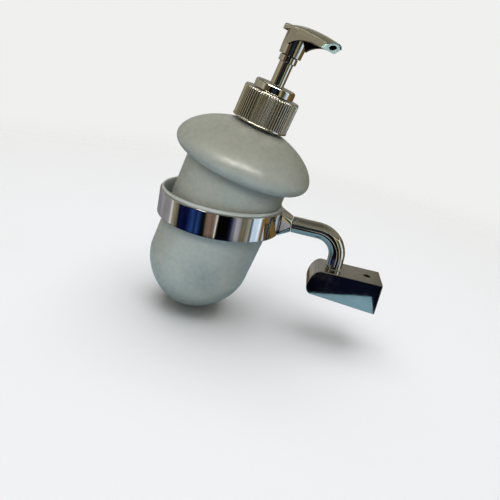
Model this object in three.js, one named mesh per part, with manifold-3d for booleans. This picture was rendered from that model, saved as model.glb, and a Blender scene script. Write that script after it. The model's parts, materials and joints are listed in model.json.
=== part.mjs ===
// Wall-held soap dispenser: a frosted glass bottle with a lotion pump, held by a chrome ring on a bent arm.
// Units are millimetres and +Z is up. The origin is the centre of the bracket's face on the wall, which
// looks along +X, so the ring stands out towards -X. The bottle is drawn up in its ring and leans in it.
import * as THREE from "three";
import { mergeVertices } from "three/addons/utils/BufferGeometryUtils.js";
import Module from "manifold-3d";

const wasm = await Module();
wasm.setup();

// Clearances
const FIT_GAP = 0.3; // between fixed neighbours
const SLIDE_GAP = 0.4; // between pieces that slide in each other
const OVERRUN = 1; // how far every cut runs past the material
const MERGE_DISTANCE = 0.0001; // between corners that are one

// Glass bottle: heights are measured from the underside of its screw collar, down or up its own axis
const GLASS_RADIUS = 32.8; // straight body
const GLASS_WALL = 3.4;
const SHOULDER_RADIUS = 43.2;
const SHOULDER_RISE = 22.4; // from the widest line up to the foot of the neck
const UNDERCUT_DROP = 7.6; // from the widest line down to the crease
const BODY_LENGTH = 65.7; // from the crease down to the dome
const DOME_HEIGHT = 33.4;
const NECK_RADIUS = 12.6;
const NECK_BORE_RADIUS = 9.6;
const NECK_HEIGHT = 13.5; // above the collar's underside
const BOTTLE_LEAN = THREE.MathUtils.degToRad(12.6);
const BOTTLE_SHIFT = 0.8; // of the leaning axis towards the wall, at the ring's middle
const COLLAR_ABOVE_RING = 57.6; // from the ring's middle up the leaning axis to the collar's underside

// Ring, liner and arm
const BAND_HEIGHT = 15.2;
const BAND_WALL = 1.2;
const BAND_EDGE = 0.4; // bevel on the band's rims
const LINER_WALL = 0.8;
const LIP_HEIGHT = 1.8; // above the band
const LIP_INSET = 0.6; // from the band's outer face
const WALL_REACH = 109.3; // from the wall to the ring's centre
const ARM_RADIUS = 5.15;
const ARM_BEND_RADIUS = 15.3;
const ARM_DROP = 21.9; // from the ring's middle down to the block's top
const ARM_FROM_WALL = 30.8;
const ARM_SEAT_DEPTH = 6;
const LUG_LENGTH = 7;
const LUG_WIDTH = 15;
const LUG_SEAT_DEPTH = 3.2;
const RING_SCREW_RADIUS = 2;
const RING_SCREW_HEAD_RADIUS = 3.6;
const RING_SCREW_HEAD_HEIGHT = 1.6;
const RING_SCREW_REACH = 7; // past its head, into the arm

// Wall block, bracket and set screw
const BLOCK_LENGTH = 45.4;
const BLOCK_WIDTH = 22.6;
const BLOCK_HEIGHT = 16.8; // at the nose
const BLOCK_FALL = 3.4; // how much lower the underside is at the wall
const BLOCK_EDGE = 0.6; // bevel round both sides
const BLOCK_WALL = 2.2;
const NOSE_LENGTH = 7.7;
const NOSE_DROP = 11.9;
const HEEL_LENGTH = 3.6;
const POCKET_DEPTH = 19;
const BRACKET_PLATE = 2.2;
const TONGUE_LENGTH = 13;
const TONGUE_WIDTH = 6;
const TONGUE_HEIGHT = 5.4;
const WALL_SCREW_HOLE_RADIUS = 1.6;
const SET_SCREW_RADIUS = 2.1;
const SET_SCREW_FROM_WALL = 9;
const SET_SCREW_SUNK = 0.7;
const SET_SCREW_KEY_RADIUS = 1.1;
const SET_SCREW_KEY_DEPTH = 1.6;

// Screw collar, its threaded insert and the gasket
const COLLAR_RADIUS = 17;
const COLLAR_HEIGHT = 19;
const COLLAR_WALL = 1.4;
const COLLAR_TOP = 1.8;
const COLLAR_RIBS = 72;
const RIB_DEPTH = 0.55;
const BEAD_HEIGHT = 1.2;
const BEAD_RISE = 0.25;
const RIM_HEIGHT = 0.9;
const INSERT_WALL = 1.8;
const GASKET_THICKNESS = 1.2;
const THREAD_ROOM = 0.7; // left between neck and insert for the thread

// Pump housing, guide cap, inlet valve and dip tube
const FLANGE_THICKNESS = 1.6;
const HOUSING_BORE_RADIUS = 6.8;
const HOUSING_WALL = 1.4;
const HOUSING_LENGTH = 47.5; // from the flange's top to the floor that carries the spring
const HOUSING_FLOOR = 1.2;
const BALL_RADIUS = 2.2;
const BALL_ROOM = 0.7; // round the ball in its cage
const CAGE_WALL = 1.7;
const SEAT_RADIUS = 1.5;
const SEAT_HEIGHT = 2;
const CAGE_HEIGHT = 3.4; // straight part above the seat
const CAGE_LIP = 0.8;
const CAGE_LIP_RADIUS = 1.9;
const NIPPLE_LENGTH = 7;
const TUBE_RADIUS = 2.7;
const TUBE_WALL = 0.9;
const TUBE_FOOT_GAP = 3.2; // to the bottom of the glass
const TUBE_MITRE_SHARE = 0.5; // rise of the slanted cut as a share of its width
const GUIDE_RADIUS = 12.4;
const GUIDE_HEIGHT = 5;
const GUIDE_EDGE = 1.5;
const GUIDE_SPIGOT_RADIUS = 8.6;
const GUIDE_SKIRT = 7.2; // below the flange's top, the piston's upper stop

// Stem, piston and spring
const STEM_RADIUS = 4.2;
const STEM_BORE_RADIUS = 1.9;
const STEM_SHOWN = 13.3; // between guide cap and step at rest
const STEP_RADIUS = 5.4;
const STEP_HEIGHT = 3.6;
const STEM_SPIGOT_RADIUS = 4.6;
const STEM_SPIGOT_HEIGHT = 7.8;
const STEM_FOOT_RADIUS = 5.8;
const STEM_FOOT_HEIGHT = 1.7;
const STEM_CORE_RADIUS = 3.2;
const PISTON_HEIGHT = 6.4;
const PISTON_LIP = 0.9; // how far its cupped lips stand out
const OUTLET_ROOM_HEIGHT = 5;
const SPRING_RADIUS = 5.2;
const SPRING_WIRE_RADIUS = 0.45;
const SPRING_TURNS = 9;
const SPRING_STEPS = 8; // in a turn
const SPRING_SIDES = 5;

// Pump head: lengths run from the stem's axis towards the spout
const HEAD_RADIUS = 6.9; // of the rounded rear
const HEAD_WALL = 1.1;
const HEAD_TURN = THREE.MathUtils.degToRad(-56);
const SOCKET_RADIUS = 6.6; // at its mouth
const SOCKET_HEIGHT = 5.4; // up to the arch's start
const SOCKET_ROOM_RADIUS = 2;
const ARCH_START = 4; // where the underside's arch leaves the socket
const ARCH_END_RISE = 4.3; // of the spout's lower corner above the arch's start
const ARCH_RISE = 2.65; // of the arch above its chord
const CREST_RISE = 11.8; // of the crest above the arch's start
const CREST_PEAK = 8; // how far ahead of the stem the crest is highest
const CREST_DROP = 2.6; // from there to the spout
const CREST_DIP = 1.4; // from there to the tab's root
const CROWN = 1.8; // from the crest to the top's edges
const SPOUT_REACH = 39.7;
const SPOUT_UNDERCUT = 6; // how far the lower corner lies behind the upper one
const SPOUT_TIP_WIDTH = 7.8;
const SPOUT_LIP = 0.7; // the roof's thickness over the nozzle's face
const TAB_ROOT = 7;
const TAB_REACH = 12.6;
const TAB_WIDTH = 10.8;
const TAB_CORNER = 3.2;
const TAB_THICKNESS = 1.9;
const TAB_LIFT = 1.8;
const RIM_REACH = 15; // how far the tab's rim runs along the head
const RIM_PROUD = 0.3;
const DUCT_RADIUS = 2.2;
const DUCT_BORE_RADIUS = 1.3;
const DUCT_DROP = 4.8; // of the duct's line below the crest
const DUCT_WEB = 1;
const NOZZLE_LENGTH = 12;
const NOZZLE_FACE = 1.2; // thickness of the plate on the spout's end
const NOZZLE_FACE_INSET = 0.2;
const NOZZLE_FACE_BACK = 0.3;
const NOZZLE_HOLE_RADIUS = 1.8;
const NOZZLE_HOLE_DEPTH = 8; // back from the spout's upper corner

// Shapes that are numbers without a unit
const ARCH_SKEW = 0.8;
const CREST_POWER = 1.8;
const TAB_POWER = 1.5;
const SHOULDER_POWER = 1.8;
const DOME_POWER = 1.76;
const LUG_CORNER_POWER = 7;
const ROUND_POWER = 2;
const BIG_SEGMENTS = 44;
const SMALL_SEGMENTS = 24;
const ARM_SIDES = 20;
const BEND_STEPS = 9;

// Sizes that follow from the ones above
const LIP_TOP = BAND_HEIGHT / 2 + LIP_HEIGHT;
const LINER_BORE_RADIUS =
  GLASS_RADIUS / Math.cos(BOTTLE_LEAN) + LIP_TOP * Math.tan(BOTTLE_LEAN) + BOTTLE_SHIFT + FIT_GAP;
const BAND_INNER_RADIUS = LINER_BORE_RADIUS + LINER_WALL + FIT_GAP;
const BAND_RADIUS = BAND_INNER_RADIUS + BAND_WALL;
const BLOCK_TOP = BLOCK_HEIGHT / 2;
const RING_HEIGHT = BLOCK_TOP + ARM_DROP;
const LUG_END = BAND_RADIUS + LUG_LENGTH;
const GASKET_BASE = NECK_HEIGHT + FIT_GAP;
const FLANGE_BASE = GASKET_BASE + GASKET_THICKNESS + FIT_GAP;
const FLANGE_TOP = FLANGE_BASE + FLANGE_THICKNESS;
const GUIDE_BASE = COLLAR_HEIGHT + FIT_GAP;
const GUIDE_TOP = GUIDE_BASE + GUIDE_HEIGHT;
const SKIRT_BOTTOM = FLANGE_TOP - GUIDE_SKIRT;
const PISTON_TOP = SKIRT_BOTTOM - FIT_GAP;
const PISTON_BOTTOM = PISTON_TOP - PISTON_HEIGHT;
const STEM_FOOT_TOP = PISTON_BOTTOM - FIT_GAP;
const STEM_FOOT_BOTTOM = STEM_FOOT_TOP - STEM_FOOT_HEIGHT;
const STEP_BOTTOM = GUIDE_TOP + STEM_SHOWN;
const STEP_TOP = STEP_BOTTOM + STEP_HEIGHT;
const STEM_TOP = STEP_TOP + STEM_SPIGOT_HEIGHT;
const SPRING_FLOOR = FLANGE_TOP - HOUSING_LENGTH;
const CAGE_RADIUS = BALL_RADIUS + BALL_ROOM;
const CAGE_LIP_BASE = SPRING_FLOOR - HOUSING_FLOOR - CAGE_LIP;
const SEAT_TOP = CAGE_LIP_BASE - CAGE_LIP - CAGE_HEIGHT;
const SEAT_BOTTOM = SEAT_TOP - SEAT_HEIGHT;
const TUBE_TOP = SEAT_BOTTOM - OVERRUN - FIT_GAP;
const NIPPLE_BOTTOM = TUBE_TOP - NIPPLE_LENGTH;
const CREASE_DEPTH = SHOULDER_RISE + UNDERCUT_DROP;
const DOME_TOP_DEPTH = CREASE_DEPTH + BODY_LENGTH;
const GLASS_DEPTH = DOME_TOP_DEPTH + DOME_HEIGHT;
const HEAD_BOTTOM = STEP_TOP + FIT_GAP;
const ARCH_START_HEIGHT = HEAD_BOTTOM + SOCKET_HEIGHT;
const CREST_HEIGHT = ARCH_START_HEIGHT + CREST_RISE;
const HEAD_CEILING = CREST_HEIGHT + TAB_LIFT + OVERRUN;
const DUCT_LINE = CREST_HEIGHT - DUCT_DROP;

// Materials, as real finishes
const chrome = { color: 0xc4c5c6, roughness: 0.08, metalness: 1 };
const frostedGlass = { color: 0xa7aca5, roughness: 0.55, metalness: 0 };
const linerPlastic = { color: 0xb4bbb4, roughness: 0.45, metalness: 0 };
const naturalPlastic = { color: 0xdedfd8, roughness: 0.5, metalness: 0 };
const nozzlePlastic = { color: 0xc3ded6, roughness: 0.4, metalness: 0 };
const zinc = { color: 0x8d9092, roughness: 0.45, metalness: 1 };
const steel = { color: 0x9a9c9e, roughness: 0.3, metalness: 1 };

// Mesh tools

// A named mesh with a finish of its own.
function piece(name, geometry, finish) {
  const mesh = new THREE.Mesh(geometry, new THREE.MeshStandardMaterial(finish));
  mesh.name = name;
  return mesh;
}

// A closed geometry as a solid that can be joined and cut.
function solid(geometry) {
  const bare = geometry.clone();
  bare.deleteAttribute("normal");
  bare.deleteAttribute("uv");
  const merged = mergeVertices(bare, MERGE_DISTANCE);
  return new wasm.Manifold(
    new wasm.Mesh({
      numProp: 3,
      vertProperties: new Float32Array(merged.attributes.position.array),
      triVerts: new Uint32Array(merged.index.array),
    }),
  );
}

// The geometry of a solid.
function geometryOf(body) {
  const mesh = body.getMesh();
  const geometry = new THREE.BufferGeometry();
  geometry.setAttribute("position", new THREE.Float32BufferAttribute(mesh.vertProperties, 3));
  geometry.setIndex(new THREE.Uint32BufferAttribute(mesh.triVerts, 1));
  geometry.computeVertexNormals();
  return geometry;
}

// A profile of [radius, height] pairs turned about the Z axis. It runs anticlockwise round the section
// seen with the axis on the left, and starts and ends on the axis or is closed here.
function turned(profile, segments) {
  const ends = [profile[0], profile.at(-1)];
  const closed = ends.every(([radius]) => radius === 0) ? profile : [...profile, profile[0]];
  const points = closed.map(([radius, height]) => new THREE.Vector2(radius, height));
  return new THREE.LatheGeometry(points, segments).rotateX(Math.PI / 2);
}

// A plain round bar along Z from one height to another.
function bar(radius, low, high, segments = SMALL_SEGMENTS) {
  return turned([[0, low], [radius, low], [radius, high], [0, high]], segments);
}

// A flat outline in X and Y drawn up along Z.
function prism(shape, low, high, curveSegments = 12) {
  const settings = { depth: high - low, bevelEnabled: false, curveSegments };
  return new THREE.ExtrudeGeometry(shape, settings).translate(0, 0, low);
}

// A box between two corners.
function block(low, high) {
  const size = high.map((value, i) => value - low[i]);
  const middle = high.map((value, i) => (value + low[i]) / 2);
  return new THREE.BoxGeometry(...size).translate(...middle);
}

// A skin over convex loops with the same number of points, closed by a fan at each end.
function loft(loops) {
  const count = loops[0].length;
  const corners = [];
  const quad = (a, b, c, d) => corners.push(a, b, c, a, c, d);
  for (let i = 0; i + 1 < loops.length; i++) {
    for (let j = 0; j < count; j++) {
      const next = (j + 1) % count;
      quad(loops[i][j], loops[i][next], loops[i + 1][next], loops[i + 1][j]);
    }
  }
  const [first, last] = [loops[0], loops.at(-1)];
  for (let j = 1; j + 1 < count; j++) {
    corners.push(first[0], first[j + 1], first[j], last[0], last[j], last[j + 1]);
  }
  return new THREE.BufferGeometry().setFromPoints(corners);
}

// Evenly spaced values from one end to the other, both included.
function steps(from, to, count) {
  return Array.from({ length: count + 1 }, (_, i) => THREE.MathUtils.lerp(from, to, i / count));
}

// Ring holder

// The flat band with a lug that tapers from the band's height to the arm, bored for the arm and its screw.
function ringBand() {
  const half = BAND_HEIGHT / 2;
  const band = solid(
    turned(
      [
        [BAND_INNER_RADIUS, -half],
        [BAND_RADIUS - BAND_EDGE, -half],
        [BAND_RADIUS, -half + BAND_EDGE],
        [BAND_RADIUS, half - BAND_EDGE],
        [BAND_RADIUS - BAND_EDGE, half],
        [BAND_INNER_RADIUS, half],
      ],
      BIG_SEGMENTS,
    ),
  );
  const start = BAND_INNER_RADIUS - OVERRUN;
  const lug = solid(
    loft(
      steps(0, 1, 4).map((share) => {
        const along = Math.max(0, (share * (LUG_END - start) - OVERRUN - BAND_WALL) / LUG_LENGTH);
        const halfWidth = THREE.MathUtils.lerp(LUG_WIDTH / 2, ARM_RADIUS, along);
        const halfHeight = THREE.MathUtils.lerp(half - BAND_EDGE, ARM_RADIUS, along);
        const power = ROUND_POWER / THREE.MathUtils.lerp(LUG_CORNER_POWER, ROUND_POWER, along);
        return steps(0, 2 * Math.PI, ARM_SIDES).slice(0, -1).map((angle) => {
          const across = Math.sign(Math.cos(angle)) * Math.abs(Math.cos(angle)) ** power;
          const up = Math.sign(Math.sin(angle)) * Math.abs(Math.sin(angle)) ** power;
          const x = THREE.MathUtils.lerp(start, LUG_END, share);
          return new THREE.Vector3(x, halfWidth * across, halfHeight * up);
        });
      }),
    ),
  );
  const bore = solid(bar(BAND_INNER_RADIUS, -half - OVERRUN, half + OVERRUN, BIG_SEGMENTS));
  const seat = solid(alongX(bar(ARM_RADIUS - BAND_EDGE, LUG_END - LUG_SEAT_DEPTH, LUG_END + OVERRUN)));
  const screwHole = solid(alongX(bar(RING_SCREW_RADIUS + FIT_GAP, BAND_INNER_RADIUS - OVERRUN, LUG_END)));
  const sink = BAND_INNER_RADIUS + RING_SCREW_HEAD_HEIGHT + FIT_GAP;
  const headHole = solid(alongX(bar(RING_SCREW_HEAD_RADIUS + FIT_GAP, BAND_INNER_RADIUS - OVERRUN, sink)));
  return geometryOf(
    lug.subtract(bore).add(band).subtract(seat).subtract(screwHole).subtract(headHole),
  );
}

// A piece made along +Z laid along +X.
function alongX(geometry) {
  return geometry.rotateY(Math.PI / 2);
}

// The plastic liner: a thin sleeve inside the band under a lip with a groove between its two rounded beads.
function ringLiner() {
  const half = BAND_HEIGHT / 2;
  const sleeve = LINER_BORE_RADIUS + LINER_WALL;
  const lipOuter = BAND_RADIUS - LIP_INSET;
  const bead = (lipOuter - LINER_BORE_RADIUS) / 2;
  const lipBase = half + FIT_GAP;
  const lipTop = half + LIP_HEIGHT;
  const beadTop = (middle, high) =>
    steps(0, Math.PI, 4).map((angle) => [
      middle + (bead / 2) * Math.cos(angle),
      high - (lipTop - lipBase) / 2 + ((lipTop - lipBase) / 2) * Math.sin(angle),
    ]);
  return turned(
    [
      [LINER_BORE_RADIUS, -half],
      [sleeve, -half],
      [sleeve, lipBase],
      [lipOuter, lipBase],
      ...beadTop(lipOuter - bead / 2, lipTop - FIT_GAP),
      ...beadTop(LINER_BORE_RADIUS + bead / 2, lipTop).slice(1),
    ],
    BIG_SEGMENTS,
  );
}

// The screw that draws the arm into the lug from inside the band.
function ringScrew() {
  const seat = BAND_INNER_RADIUS + RING_SCREW_HEAD_HEIGHT;
  return alongX(
    turned(
      [
        [0, BAND_INNER_RADIUS + FIT_GAP],
        [RING_SCREW_HEAD_RADIUS, BAND_INNER_RADIUS + FIT_GAP],
        [RING_SCREW_HEAD_RADIUS, seat],
        [RING_SCREW_RADIUS, seat],
        [RING_SCREW_RADIUS, seat + RING_SCREW_REACH],
        [0, seat + RING_SCREW_REACH],
      ],
      SMALL_SEGMENTS / 2,
    ),
  );
}

// The round arm: straight out of the lug, through a quarter bend, down into the block. It lies in the
// ring's own frame, and its ends are turned down to seats and bored for the ring's screw.
function arm() {
  const postX = WALL_REACH - ARM_FROM_WALL;
  const bendX = postX - ARM_BEND_RADIUS;
  const start = LUG_END + FIT_GAP;
  const bottom = -ARM_DROP - ARM_SEAT_DEPTH + FIT_GAP;
  const stations = [
    [start, 0, 0],
    ...steps(0, Math.PI / 2, BEND_STEPS).map((angle) => [
      bendX + ARM_BEND_RADIUS * Math.sin(angle),
      ARM_BEND_RADIUS * (Math.cos(angle) - 1),
      angle,
    ]),
    [postX, bottom, Math.PI / 2],
  ];
  const bent = solid(
    loft(
      stations.map(([x, z, angle]) =>
        steps(0, 2 * Math.PI, ARM_SIDES).slice(0, -1).map((turn) => {
          const side = ARM_RADIUS * Math.cos(turn);
          const out = ARM_RADIUS * Math.sin(turn);
          return new THREE.Vector3(x + out * Math.sin(angle), side, z + out * Math.cos(angle));
        }),
      ),
    ),
  );
  const tenonRadius = ARM_RADIUS - BAND_EDGE - FIT_GAP;
  const tenon = solid(alongX(bar(tenonRadius, LUG_END - LUG_SEAT_DEPTH + FIT_GAP, start + OVERRUN)));
  const tap = LUG_END + RING_SCREW_REACH;
  const hole = solid(alongX(bar(RING_SCREW_RADIUS + FIT_GAP, BAND_RADIUS, tap, SMALL_SEGMENTS / 2)));
  return geometryOf(bent.add(tenon).subtract(hole));
}

// Wall block

// The side outline: a flat top, an underside that falls towards the wall, a long rounded nose and a small
// heel, as X and Z.
function blockOutline(inset) {
  const shape = new THREE.Shape();
  const [left, right] = [-BLOCK_LENGTH + inset, -inset];
  const [bottom, top] = [-BLOCK_TOP + inset, BLOCK_TOP - inset];
  const noseZ = BLOCK_TOP - NOSE_DROP;
  shape.moveTo(right, bottom - BLOCK_FALL);
  shape.lineTo(right, top);
  shape.lineTo(-BLOCK_LENGTH + NOSE_LENGTH, top);
  const rise = top - noseZ;
  const fall = noseZ - bottom;
  shape.absellipse(
    -BLOCK_LENGTH + NOSE_LENGTH, noseZ, NOSE_LENGTH - inset, rise, Math.PI / 2, Math.PI, false, 0,
  );
  shape.absellipse(left + HEEL_LENGTH, noseZ, HEEL_LENGTH, fall, Math.PI, 1.5 * Math.PI, false, 0);
  shape.closePath();
  return shape;
}

// The cast block: bevelled round both sides, with a socket for the arm, a pocket for the bracket open to
// the wall, and a hole for the set screw.
function wallBlock() {
  const settings = {
    depth: BLOCK_WIDTH - 2 * BLOCK_EDGE,
    bevelThickness: BLOCK_EDGE,
    bevelSize: BLOCK_EDGE,
    bevelSegments: 1,
    curveSegments: 8,
  };
  const body = solid(
    new THREE.ExtrudeGeometry(blockOutline(BLOCK_EDGE), settings)
      .translate(0, 0, BLOCK_EDGE - BLOCK_WIDTH / 2)
      .rotateX(Math.PI / 2),
  );
  const halfPocket = BLOCK_WIDTH / 2 - BLOCK_WALL;
  const pocket = solid(
    block(
      [-POCKET_DEPTH, -halfPocket, -BLOCK_TOP + BLOCK_WALL],
      [OVERRUN, halfPocket, BLOCK_TOP - BLOCK_WALL],
    ),
  );
  const socket = solid(
    bar(ARM_RADIUS + FIT_GAP, BLOCK_TOP - ARM_SEAT_DEPTH, BLOCK_TOP + OVERRUN).translate(
      -ARM_FROM_WALL, 0, 0,
    ),
  );
  const screwHole = solid(
    bar(SET_SCREW_RADIUS + FIT_GAP, BLOCK_TOP - BLOCK_WALL - OVERRUN, BLOCK_TOP + OVERRUN).translate(
      -SET_SCREW_FROM_WALL, 0, 0,
    ),
  );
  return geometryOf(body.subtract(pocket).subtract(socket).subtract(screwHole));
}

// The bracket that is screwed to the wall: a plate that fills the pocket's mouth, and a tongue for the
// set screw to bear on.
function wallBracket() {
  const halfWidth = BLOCK_WIDTH / 2 - BLOCK_WALL - FIT_GAP;
  const halfHeight = BLOCK_TOP - BLOCK_WALL - FIT_GAP;
  const plate = solid(block([-BRACKET_PLATE, -halfWidth, -halfHeight], [0, halfWidth, halfHeight]));
  const tongue = solid(
    block(
      [-BRACKET_PLATE - TONGUE_LENGTH, -TONGUE_WIDTH / 2, -TONGUE_HEIGHT / 2],
      [-BRACKET_PLATE / 2, TONGUE_WIDTH / 2, TONGUE_HEIGHT / 2],
    ),
  );
  const holeY = (halfWidth + TONGUE_WIDTH / 2) / 2;
  const hole = alongX(bar(WALL_SCREW_HOLE_RADIUS, -BRACKET_PLATE - OVERRUN, OVERRUN, SMALL_SEGMENTS / 2));
  const holes = [-holeY, holeY].map((y) => solid(hole.clone().translate(0, y, 0)));
  return geometryOf(holes.reduce((body, cut) => body.subtract(cut), plate.add(tongue)));
}

// The headless set screw with its six-sided key socket, down on the bracket's tongue.
function setScrew() {
  const top = BLOCK_TOP - SET_SCREW_SUNK;
  const body = solid(bar(SET_SCREW_RADIUS, TONGUE_HEIGHT / 2 + FIT_GAP, top, SMALL_SEGMENTS / 2));
  const key = solid(bar(SET_SCREW_KEY_RADIUS, top - SET_SCREW_KEY_DEPTH, top + OVERRUN, 6));
  return geometryOf(body.subtract(key)).translate(-SET_SCREW_FROM_WALL, 0, 0);
}

// Glass bottle

// Points of the glass from the neck's foot to the bottom, set in from the outer face by a wall.
function glassOutline(wall, neck, shoulderSteps, undercutSteps, domeSteps) {
  const widest = SHOULDER_RADIUS - wall;
  const rise = SHOULDER_RISE - wall;
  const radius = GLASS_RADIUS - wall;
  const creaseDepth = CREASE_DEPTH - wall;
  const domeHeight = DOME_HEIGHT - wall;
  const atNeck = Math.asin((neck / widest) ** (SHOULDER_POWER / 2));
  const shoulder = steps(atNeck, Math.PI / 2, shoulderSteps).map((angle) => [
    widest * Math.sin(angle) ** (2 / SHOULDER_POWER),
    -SHOULDER_RISE + rise * Math.max(0, Math.cos(angle)) ** (2 / SHOULDER_POWER),
  ]);
  const undercut = steps(0, Math.PI / 2, undercutSteps).slice(1).map((angle) => [
    radius + (widest - radius) * Math.cos(angle),
    -SHOULDER_RISE - (creaseDepth - SHOULDER_RISE) * Math.sin(angle),
  ]);
  const dome = steps(0, Math.PI / 2, domeSteps).map((angle) => [
    radius * Math.max(0, Math.cos(angle)) ** (2 / DOME_POWER),
    -DOME_TOP_DEPTH - domeHeight * Math.sin(angle) ** (2 / DOME_POWER),
  ]);
  dome.at(-1)[0] = 0;
  return [...shoulder, ...undercut, ...dome];
}

// The whole bottle, one wall thick, open at the neck.
function bottle() {
  const outer = glassOutline(0, NECK_RADIUS, 9, 4, 9);
  const inner = glassOutline(GLASS_WALL, NECK_BORE_RADIUS, 5, 3, 5);
  return turned(
    [
      ...outer.reverse(),
      [NECK_RADIUS, NECK_HEIGHT],
      [NECK_BORE_RADIUS, NECK_HEIGHT],
      ...inner,
    ],
    BIG_SEGMENTS,
  );
}

// Collar

// The plated collar: fine upright ribs between a plain bead below and a thin rim above, closed on top
// round the guide cap.
function collar() {
  const root = COLLAR_RADIUS - RIB_DEPTH;
  const outline = steps(0, 2 * Math.PI, 2 * COLLAR_RIBS).slice(0, -1).map((angle, i) => {
    const radius = i % 2 ? root : COLLAR_RADIUS;
    return new THREE.Vector2(radius * Math.cos(angle), radius * Math.sin(angle));
  });
  const ribs = solid(prism(new THREE.Shape(outline), BEAD_HEIGHT / 2, COLLAR_HEIGHT - RIM_HEIGHT));
  const beadRadius = COLLAR_RADIUS + BEAD_RISE;
  const bead = solid(
    turned(
      [
        [0, 0],
        [beadRadius - BEAD_RISE, 0],
        [beadRadius, BEAD_HEIGHT / 2],
        [beadRadius - BEAD_RISE, BEAD_HEIGHT],
        [0, BEAD_HEIGHT],
      ],
      BIG_SEGMENTS,
    ),
  );
  const rim = solid(
    turned(
      [
        [0, COLLAR_HEIGHT - 2 * RIM_HEIGHT],
        [root, COLLAR_HEIGHT - 2 * RIM_HEIGHT],
        [root, COLLAR_HEIGHT - RIM_HEIGHT / 2],
        [root - RIM_HEIGHT / 2, COLLAR_HEIGHT],
        [0, COLLAR_HEIGHT],
      ],
      BIG_SEGMENTS,
    ),
  );
  const inside = solid(
    bar(root - COLLAR_WALL + RIB_DEPTH, -OVERRUN, COLLAR_HEIGHT - COLLAR_TOP, BIG_SEGMENTS),
  );
  const hole = solid(bar(GUIDE_SPIGOT_RADIUS + FIT_GAP, 0, COLLAR_HEIGHT + OVERRUN));
  return geometryOf(ribs.add(bead).add(rim).subtract(inside).subtract(hole));
}

// The plastic insert that carries the collar's thread.
function collarInsert() {
  const inner = NECK_RADIUS + THREAD_ROOM;
  const outer = inner + INSERT_WALL;
  return turned(
    [[inner, FIT_GAP], [outer, FIT_GAP], [outer, NECK_HEIGHT], [inner, NECK_HEIGHT]],
    SMALL_SEGMENTS,
  );
}

// The sealing ring between the glass and the pump's flange.
function gasket() {
  const inner = HOUSING_BORE_RADIUS + HOUSING_WALL + FIT_GAP;
  const top = GASKET_BASE + GASKET_THICKNESS;
  return turned(
    [[inner, GASKET_BASE], [NECK_RADIUS, GASKET_BASE], [NECK_RADIUS, top], [inner, top]],
    SMALL_SEGMENTS,
  );
}

// Pump

// The pump's cylinder: a flange on the neck, a long bore with a floor for the spring, then the cage of the
// inlet ball and a nipple for the dip tube.
function pumpHousing() {
  const outer = HOUSING_BORE_RADIUS + HOUSING_WALL;
  const cageOuter = CAGE_RADIUS + CAGE_WALL;
  const floorBottom = SPRING_FLOOR - HOUSING_FLOOR;
  const tubeBore = TUBE_RADIUS + FIT_GAP;
  return turned(
    [
      [tubeBore, NIPPLE_BOTTOM],
      [cageOuter, NIPPLE_BOTTOM],
      [cageOuter, floorBottom - CAGE_HEIGHT],
      [outer, floorBottom],
      [outer, FLANGE_BASE],
      [NECK_RADIUS, FLANGE_BASE],
      [NECK_RADIUS, FLANGE_TOP],
      [HOUSING_BORE_RADIUS, FLANGE_TOP],
      [HOUSING_BORE_RADIUS, SPRING_FLOOR],
      [CAGE_LIP_RADIUS, SPRING_FLOOR],
      [CAGE_LIP_RADIUS, CAGE_LIP_BASE],
      [CAGE_RADIUS, CAGE_LIP_BASE - CAGE_LIP],
      [CAGE_RADIUS, SEAT_TOP],
      [SEAT_RADIUS, SEAT_BOTTOM],
      [SEAT_RADIUS, SEAT_BOTTOM - OVERRUN],
      [tubeBore, SEAT_BOTTOM - OVERRUN],
    ],
    SMALL_SEGMENTS,
  );
}

// A valve ball standing a fit's gap off its conical seat.
function ball(seatTop) {
  const slant = Math.hypot(CAGE_RADIUS - SEAT_RADIUS, SEAT_HEIGHT);
  const lift = ((BALL_RADIUS + FIT_GAP) * slant - SEAT_RADIUS * SEAT_HEIGHT) / (CAGE_RADIUS - SEAT_RADIUS);
  return new THREE.SphereGeometry(BALL_RADIUS, 12, 8).rotateX(Math.PI / 2).translate(0, 0, seatTop + lift);
}

// The dip tube from the nipple to just above the bottom of the glass, its foot cut on the slant.
function dipTube() {
  const foot = -GLASS_DEPTH + GLASS_WALL + TUBE_FOOT_GAP;
  const inner = TUBE_RADIUS - TUBE_WALL;
  const tube = turned(
    [[inner, foot], [TUBE_RADIUS, foot], [TUBE_RADIUS, TUBE_TOP], [inner, TUBE_TOP]],
    SMALL_SEGMENTS / 2,
  );
  const place = tube.getAttribute("position");
  for (let i = 0; i < place.count; i++) {
    if (place.getZ(i) < (foot + TUBE_TOP) / 2) {
      place.setZ(i, foot + TUBE_MITRE_SHARE * (TUBE_RADIUS + place.getX(i)));
    }
  }
  return tube;
}

// The plated guide cap: a round boss on the collar, a spigot through the collar's top onto the flange, and
// a skirt in the housing that stops the piston.
function guideCap() {
  const bore = STEM_RADIUS + SLIDE_GAP;
  const skirt = HOUSING_BORE_RADIUS - FIT_GAP;
  const corner = steps(0, Math.PI / 2, 4).map((angle) => [
    GUIDE_RADIUS - GUIDE_EDGE + GUIDE_EDGE * Math.cos(angle),
    GUIDE_TOP - GUIDE_EDGE + GUIDE_EDGE * Math.sin(angle),
  ]);
  return turned(
    [
      [bore, SKIRT_BOTTOM],
      [skirt, SKIRT_BOTTOM],
      [skirt, FLANGE_TOP + FIT_GAP],
      [GUIDE_SPIGOT_RADIUS, FLANGE_TOP + FIT_GAP],
      [GUIDE_SPIGOT_RADIUS, GUIDE_BASE],
      [GUIDE_RADIUS, GUIDE_BASE],
      ...corner,
      [bore, GUIDE_TOP],
    ],
    SMALL_SEGMENTS + 8,
  );
}

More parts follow.
